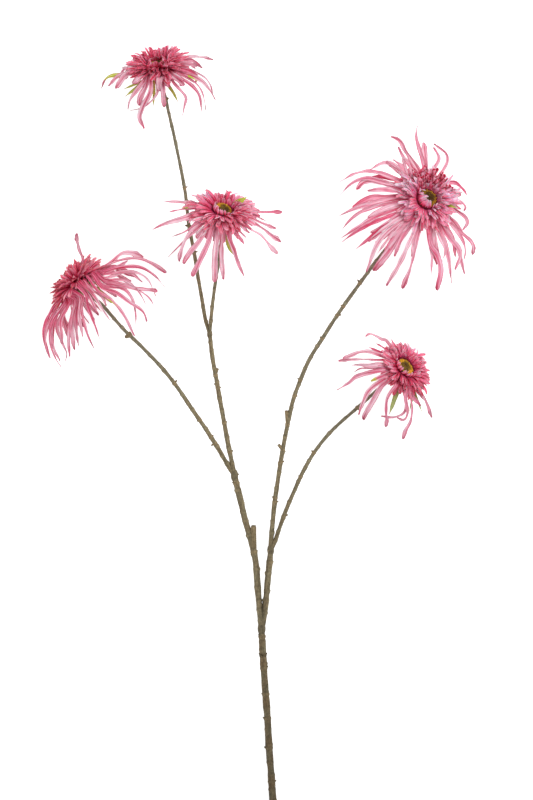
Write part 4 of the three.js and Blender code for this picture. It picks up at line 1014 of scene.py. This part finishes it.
# how light the bark is against its lightest, by y, from the cut end to the top: darker toward the cut end
BARK_BY_Y = [(-446, 0.44), (-360, 0.5), (-290, 0.66), (-240, 0.72), (-200, 0.86), (-120, 0.9), (-40, 1),
            (340, 1)]
TRUNK_WARM, LIMB_WARM, YOUNG_SHARE = 0.6, 0.27, 0.65  # shares of brown, and of young bark toward a head
BURIED = 3  # most that a bud or stub starts inside the bark
BUD_ROUND, NODE_ROUND = 12, 18
BUD_SLIM, BUD_FLAT, BUD_RISE = 0.8, 0.9, 0.15  # radius against the listed one, thickness, slope of its axis
STUB_FROM = 5.5  # a longer one is a cut stub
# places along a bud or stub, then its girth and its lightness at its start and at each place: True for a
# stub, False for a bud
BUMP_ALONG = (0, 0.35, 0.7, 0.92, 1)
BUMP_GIRTHS = {True: (1, 1, 0.98, 0.95, 1, 0.8), False: (1, 1, 0.85, 0.65, 0.45, 0.2)}
BUMP_SHADES = {True: (0.95, 0.95, 1, 1.1, 1.2, 0.7), False: (1, 1, 0.95, 0.9, 0.8, 0.6)}
KNUCKLE_LONG = 1.8  # half its length, against its radius
SAME_BRANCH = 6  # points of the centre lines that are further apart belong to two branches
# a swollen node: distance along the stem, girth against the stem's, lightness
NODE_RING = [(-3.4, 0.85, 1), (-2, 1.03, 1.1), (-0.7, 1.14, 1.25), (0.4, 1.15, 1.15), (1.2, 1.05, 0.95),
             (2.2, 0.85, 1)]


def branch_points(branch):
    """The points of a branch's line, with the straight stretch up to its head."""
    points = [np.array(p, float) for p in branch["path"]]
    if "head" in branch:
        head = HEADS[branch["head"] - 1]
        points += [head["at"] + head["face"] * up for up in (STEM_END - STRAIGHT_END, STEM_END)]
    return points


def cleft_shade(index, distance, turn):
    """Painted shade, as a lightness, on a branch where it lies against its neighbour above a fork."""
    side, reach = SHADED_CLEFTS[index]
    near = smoothstep(0, 0.8, side * np.cos(turn))
    return 1 - 0.5 * near * (1 - smoothstep(0.4, 1, distance / reach))


def leaf_scars(index, distance, turn):
    """How much a branch swells at its leaf scars, to alternate sides, and how light its bark is there."""
    swelling = np.zeros((len(distance), len(turn)))
    shade = np.ones(swelling.shape)
    branch, at = {"id": 9 + index}, 0.0
    for k in range(int(distance[-1, 0] / SCAR_GAP)):
        at += SCAR_GAP * (0.6 + 0.8 * draw(branch, k, 91))
        off = distance - at
        side = 0.5 + 0.5 * np.cos(turn - math.pi * (k % 2) - 0.8 * (draw(branch, k, 92) - 0.5))
        strength = (0.1 + 0.25 * draw(branch, k, 93)) * (0.5 if index == 0 else 1)
        swelling += strength * np.exp(-(off / np.where(off < 0, 2.2, 0.9)) ** 2) * (0.35 + 0.65 * side**2)
        shade *= 1 - 0.22 * np.exp(-((off - 1) / 0.8) ** 2) * (0.5 + 0.5 * side)
        shade *= 1 + 1.3 * strength * np.exp(-((off + 0.8) / 1.1) ** 2) * side
    return swelling, shade


def bark_colour(index, distance, turn, young):
    """Grey-khaki bark in light and brown patches, paler green where it is young."""
    patch = 0.5 + 0.5 * np.sin(distance / 11 + 3 * index) * np.sin(turn * 2 + distance / 20)
    warm = 0.5 + 0.5 * np.sin(distance / 4.3 + 5 * index) * np.cos(turn + distance / 13)
    colour = mix(BARK_MID, BARK_LIGHT, patch[..., None])
    colour = blend(colour, BARK_BROWN, (TRUNK_WARM if index == 0 else LIMB_WARM) * warm)
    return blend(colour, BARK_YOUNG, young)


def add_branch(skin, index, branch):
    """One branch of the stem, knobbly and ridged; returns its centre line."""
    points = branch_points(branch)
    _, length = spline(points, np.array([0.0, 1.0]))
    s = np.linspace(0, 1, int(length / STEM_PITCH))
    centre, _ = spline(points, s)
    _, normal, side = carried_frames(centre, np.array([0.0, 0, 1]))
    turn = whole_turn(STEM_ROUND)
    distance = (s * length)[:, None]
    low, high = branch["radii"]
    girth = (low + (high - low) * s)[:, None]
    lumps = 0.04 * np.sin(distance / 7 + index) + 0.03 * np.sin(distance / 3.1 + 2 * index)
    ridges = 0.05 * np.sin(5 * turn + distance / 9 + index) + 0.03 * np.sin(9 * turn - distance / 6)
    swelling, shade = leaf_scars(index, distance, turn)
    radius = girth * (1 + lumps + ridges + swelling)
    rings = centre[:, None] + radius[..., None] * circle(turn, side[:, None], normal[:, None])
    young = YOUNG_SHARE * smoothstep(0.15, 0.75, s)[:, None] * ("head" in branch)
    colour = bark_colour(index, distance, turn, young) * (shade * cleft_shade(index, distance, turn))[..., None]
    colour = colour * along_keys(BARK_BY_Y, centre[:, 1])[:, None]
    if index == 0:
        colour[0] = CUT_WOOD
    skin.add(rings, colour, (np.cos(turn), np.sin(turn), distance * CM))
    return centre


def add_swelling(skin, rings, bark, turn, grain):
    """A closed body on the bark, as dark as the bark is at its level."""
    level_tone = along_keys(BARK_BY_Y, rings[0, :1, 1])[0]
    skin.add(rings, bark * level_tone, (np.cos(turn), np.sin(turn), np.reshape(grain, (-1, 1))))


def across_line(direction):
    """Two directions square to a line and to each other, the first of them level."""
    x = unit(np.cross(direction, (0, 0, 1)))
    return x, np.cross(direction, x)


def add_bump(skin, foot, away, length, radius, key):
    """A bud, scar or stub: a blunt swelling that stands on the bark."""
    t = np.array([-min(0.5, BURIED / length), *BUMP_ALONG])
    stub = length > STUB_FROM
    girth = radius * np.array(BUMP_GIRTHS[stub])
    x, y = across_line(away)
    turn = whole_turn(BUD_ROUND)
    rings = foot + (t * length)[:, None, None] * away + girth[:, None, None] * circle(turn, x, BUD_FLAT * y)
    add_swelling(skin, rings, BARK_WORN * np.array(BUMP_SHADES[stub])[:, None, None], turn, t + key)


def add_node_ring(skin, centre, i, girth):
    """A swollen ring round the stem where a shoot was shed."""
    tangent = unit(centre[i + 1] - centre[i - 1])
    turn = whole_turn(NODE_ROUND)
    t, share, shade = np.array(NODE_RING).T[..., None, None]
    rings = centre[i] + t * tangent + share * girth * circle(turn, *across_line(tangent))
    add_swelling(skin, rings, BARK_WORN * shade, turn, t * CM)


def add_knuckle(skin, at, radius):
    """A rounded swelling that closes a fork."""
    t = np.linspace(-1, 1, 9)[:, None, None]
    turn = whole_turn(NODE_ROUND)
    section = circle(turn, np.array([1.0, 0, 0]), np.array([0, 0, 1.0]))
    rings = at + t * radius * KNUCKLE_LONG * (0, 1, 0) + np.sqrt(1 - 0.98 * t**2) * radius * section
    add_swelling(skin, rings[:, ::-1], BARK_MID, turn, t * 0.3)


def stem_piece(material):
    """The branches with their buds, stubs and node rings, and a knuckle at each fork."""
    skin = Skin()
    lines = [add_branch(skin, i, branch) for i, branch in enumerate(BRANCHES)]
    marks = np.vstack(lines)
    girths = np.concatenate([np.linspace(*branch["radii"], len(line))
                             for branch, line in zip(BRANCHES, lines)])
    for k, (x, y, degrees, length, radius) in enumerate(BUDS):
        nearest = int(np.argmin(np.hypot(marks[:, 0] - x, marks[:, 1] - y)))
        turn = math.radians(degrees)
        away = unit(np.array([math.cos(turn), math.sin(turn), BUD_RISE]))
        add_bump(skin, marks[nearest], away, length, radius * BUD_SLIM, k)
        inside = 1 < nearest < len(marks) - 2
        if inside and np.linalg.norm(marks[nearest + 1] - marks[nearest - 1]) < SAME_BRANCH:
            add_node_ring(skin, marks, nearest, girths[nearest])
    for at, radius in KNUCKLES:
        add_knuckle(skin, at, radius)
    return skin.object("woody_stem_bark", material)


# ---- Materials ----
# how fine each noise is, and its detail
PETAL_MOTTLE, PETAL_WEAVE, PETAL_STREAKS = (240.0, 3.0), (1900.0, 2.0), (1.6, 4.0)
BARK_STREAKS, BARK_FLECKS, VELVET_MOTTLE = (2.6, 5.0), (420.0, 4.0), (700.0, 3.0)
STREAK_GRAIN = (2.2, 0.35, 40)  # how fast the lengthwise streaks change across, along and between petals
PETAL_RELIEF, BARK_RELIEF, VELVET_RELIEF = 0.00015, 0.0005, 0.0002  # m
SPECULAR = 0.2
GLOW_DEPTH, GLOW_REACH = 0.002, (1, 0.35, 0.45)  # m, and how far red, green and blue pass


class Finish:
    """A material whose base colour is the pieces' tint times a pattern, and short ways to add its nodes."""

    def __init__(self, name, roughness, sheen=0.0, glow=0.0):
        self.material = bpy.data.materials.new(name)
        self.material.use_nodes = True
        self.nodes, self.links = self.material.node_tree.nodes, self.material.node_tree.links
        self.fill(self.nodes["Principled BSDF"], {
            "Roughness": roughness, "Sheen Weight": sheen, "Specular IOR Level": SPECULAR,
            "Subsurface Weight": glow, "Subsurface Scale": GLOW_DEPTH, "Subsurface Radius": GLOW_REACH})
        self.place = self.add("TexCoord", {}).outputs["Object"]
        self.tint = self.attribute("tint", "Color")

    def fill(self, node, inputs):
        """Sets a node's inputs to values, or links them to another node's outputs."""
        for key, value in inputs.items():
            if isinstance(value, bpy.types.NodeSocket):
                self.links.new(value, node.inputs[key])
            else:
                node.inputs[key].default_value = value

    def add(self, kind, inputs, **settings):
        node = self.nodes.new("ShaderNode" + kind)
        for name, value in settings.items():
            setattr(node, name, value)
        self.fill(node, inputs)
        return node

    def attribute(self, name, output):
        return self.add("Attribute", {}, attribute_name=name).outputs[output]

    def math(self, operation, *values):
        return self.add("Math", dict(enumerate(values)), operation=operation).outputs[0]

    def scaled(self, value, gain, base):
        return self.math("MULTIPLY_ADD", value, gain, base)

    def noise(self, vector, fineness):
        scale, detail = fineness
        return self.add("TexNoise", {"Vector": vector, "Scale": scale, "Detail": detail}).outputs["Fac"]

    def done(self, tint, factor, height, depth, strength=0.6):
        """The material, with its colour and a bump of that depth in metres."""
        colour = self.add("VectorMath", {0: tint, "Scale": factor}, operation="SCALE").outputs[0]
        relief = self.add("Bump", {"Height": height, "Distance": depth, "Strength": strength})
        self.fill(self.nodes["Principled BSDF"], {"Base Color": colour, "Normal": relief.outputs["Normal"]})
        return self.material


def petal_material(name, ribs, rib_depth, sheen, streak, glow):
    """Limp woven petal: fine lengthwise ribs and streaks, a faint weave and soft mottling over the tint;
    glow is the share of light that passes under its surface."""
    cloth = Finish(name, 0.62, sheen, glow)
    detail = cloth.attribute("detail", "Vector")
    across = cloth.add("SeparateXYZ", {0: detail}).outputs[0]
    wave = cloth.math("COSINE", cloth.math("MULTIPLY", across, math.pi * ribs))
    ribbed = cloth.scaled(wave, rib_depth, 1.0)
    soft = cloth.scaled(cloth.noise(cloth.place, PETAL_MOTTLE), 0.3, 0.86)
    grain = cloth.add("VectorMath", {0: detail, 1: STREAK_GRAIN}, operation="MULTIPLY").outputs[0]
    lines = cloth.scaled(cloth.noise(grain, PETAL_STREAKS), -2 * streak, 1 + streak)
    tint = cloth.add("Gamma", {"Color": cloth.tint, "Gamma": lines}).outputs[0]
    height = cloth.scaled(wave, 0.5, cloth.noise(cloth.place, PETAL_WEAVE))
    return cloth.done(tint, cloth.math("MULTIPLY", ribbed, soft), height, PETAL_RELIEF)


def stem_material():
    """Dry bark: grey-khaki, streaked along the stem, with dark flecks and paler worn spots."""
    bark = Finish("stem_bark", 0.82)
    grain = bark.noise(bark.attribute("detail", "Vector"), BARK_STREAKS)
    flecks = bark.noise(bark.place, BARK_FLECKS)
    shade = bark.math("MULTIPLY", bark.scaled(grain, 1.5, 0.24), bark.scaled(flecks, 1.3, 0.37))
    return bark.done(bark.tint, shade, bark.math("ADD", grain, flecks), BARK_RELIEF, strength=0.8)


def velvet_material():
    """The disc's soft, mottled surface."""
    velvet = Finish("disc_velvet", 0.85, sheen=0.15)
    mottle = velvet.noise(velvet.place, VELVET_MOTTLE)
    return velvet.done(velvet.tint, velvet.scaled(mottle, 0.6, 0.7), mottle, VELVET_RELIEF)


# ---- Stage: places and sizes in metres ----
FLOOR_HALF, FLOOR_DROP = 60.0, 0.0002
LIGHTS = {"key": ((1.4, 1.3, 2.2), 1.4, 40), "fill": ((-1.6, -0.4, 2.0), 1.6, 15)}  # place, size, watts
SENSOR = 36  # mm
FAR_CLIP = 200


def add_floor():
    """A white floor that shows as the photograph's plain ground."""
    material = bpy.data.materials.new("pale_floor")
    material.use_nodes = True
    shader = material.node_tree.nodes["Principled BSDF"]
    shader.inputs["Base Color"].default_value = (0.93, 0.93, 0.93, 1)
    shader.inputs["Roughness"].default_value = 0.9
    shader.inputs["Emission Color"].default_value = (1, 1, 1, 1)
    shader.inputs["Emission Strength"].default_value = 0.6
    mesh = bpy.data.meshes.new("pale_floor")
    corners = [(x * FLOOR_HALF, y * FLOOR_HALF, 0) for x, y in ((-1, -1), (1, -1), (1, 1), (-1, 1))]
    mesh.from_pydata(corners, [], [(0, 1, 2, 3)])
    mesh.materials.append(material)
    floor = linked("pale_floor", mesh)
    floor.location.z = -FLOOR_DROP


def add_light(name, place, size, watts):
    """A square light that points at the spray's origin."""
    light = bpy.data.lights.new(name, "AREA")
    light.size = size
    light.energy = watts
    made = linked(name, light)
    made.location = place
    aim = Vector(SHIFT * MM) - Vector(place)
    made.rotation_euler = aim.to_track_quat("-Z", "Y").to_euler()


def add_camera():
    """A camera straight over the spray, far enough away to see it almost flat."""
    data = bpy.data.cameras.new("camera")
    data.sensor_width = SENSOR
    data.sensor_fit = "AUTO"
    data.lens = SENSOR * (CAMERA_HEIGHT - HEAD_LEVEL) / VIEW_LONG
    data.clip_end = FAR_CLIP
    camera = linked("camera", data)
    camera.location = (SHIFT[0] * MM, SHIFT[1] * MM, CAMERA_HEIGHT * MM)
    bpy.context.scene.camera = camera


def set_world():
    world = bpy.data.worlds.new("pale_world")
    world.use_nodes = True
    background = world.node_tree.nodes["Background"]
    background.inputs["Color"].default_value = (1, 1, 1, 1)
    background.inputs["Strength"].default_value = 0.5
    bpy.context.scene.world = world
    bpy.context.scene.view_settings.view_transform = "Standard"


add_camera()
set_world()
add_floor()
for light_name, settings in LIGHTS.items():
    add_light(light_name, *settings)

ray_material = petal_material("ray_petal_silk", ribs=4, rib_depth=0.06, sheen=0.1, streak=1.5, glow=0.1)
crown_material = petal_material("crown_petal_silk", ribs=5, rib_depth=0.08, sheen=0, streak=1.0, glow=0.4)
green_material = petal_material("green_bract_silk", ribs=3, rib_depth=0.06, sheen=0.1, streak=0.5, glow=0)
disc_material = velvet_material()

pieces = [(stem_piece(stem_material()), "stem", "woody_stem")]
for head in HEADS:
    n = head["id"]
    pieces += [
        (ray_piece(head, ray_material), f"rays_{n}", "ray_petal"),
        (crown_piece(head, crown_material), f"crown_{n}", "crown_petal"),
        (disc_piece(head, disc_material), f"disc_{n}", "disc_floret"),
        (calyx_piece(head, green_material), f"calyx_{n}", "green_bract"),
    ]
for piece, node, slot in pieces:
    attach(piece, "root")
    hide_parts(node)
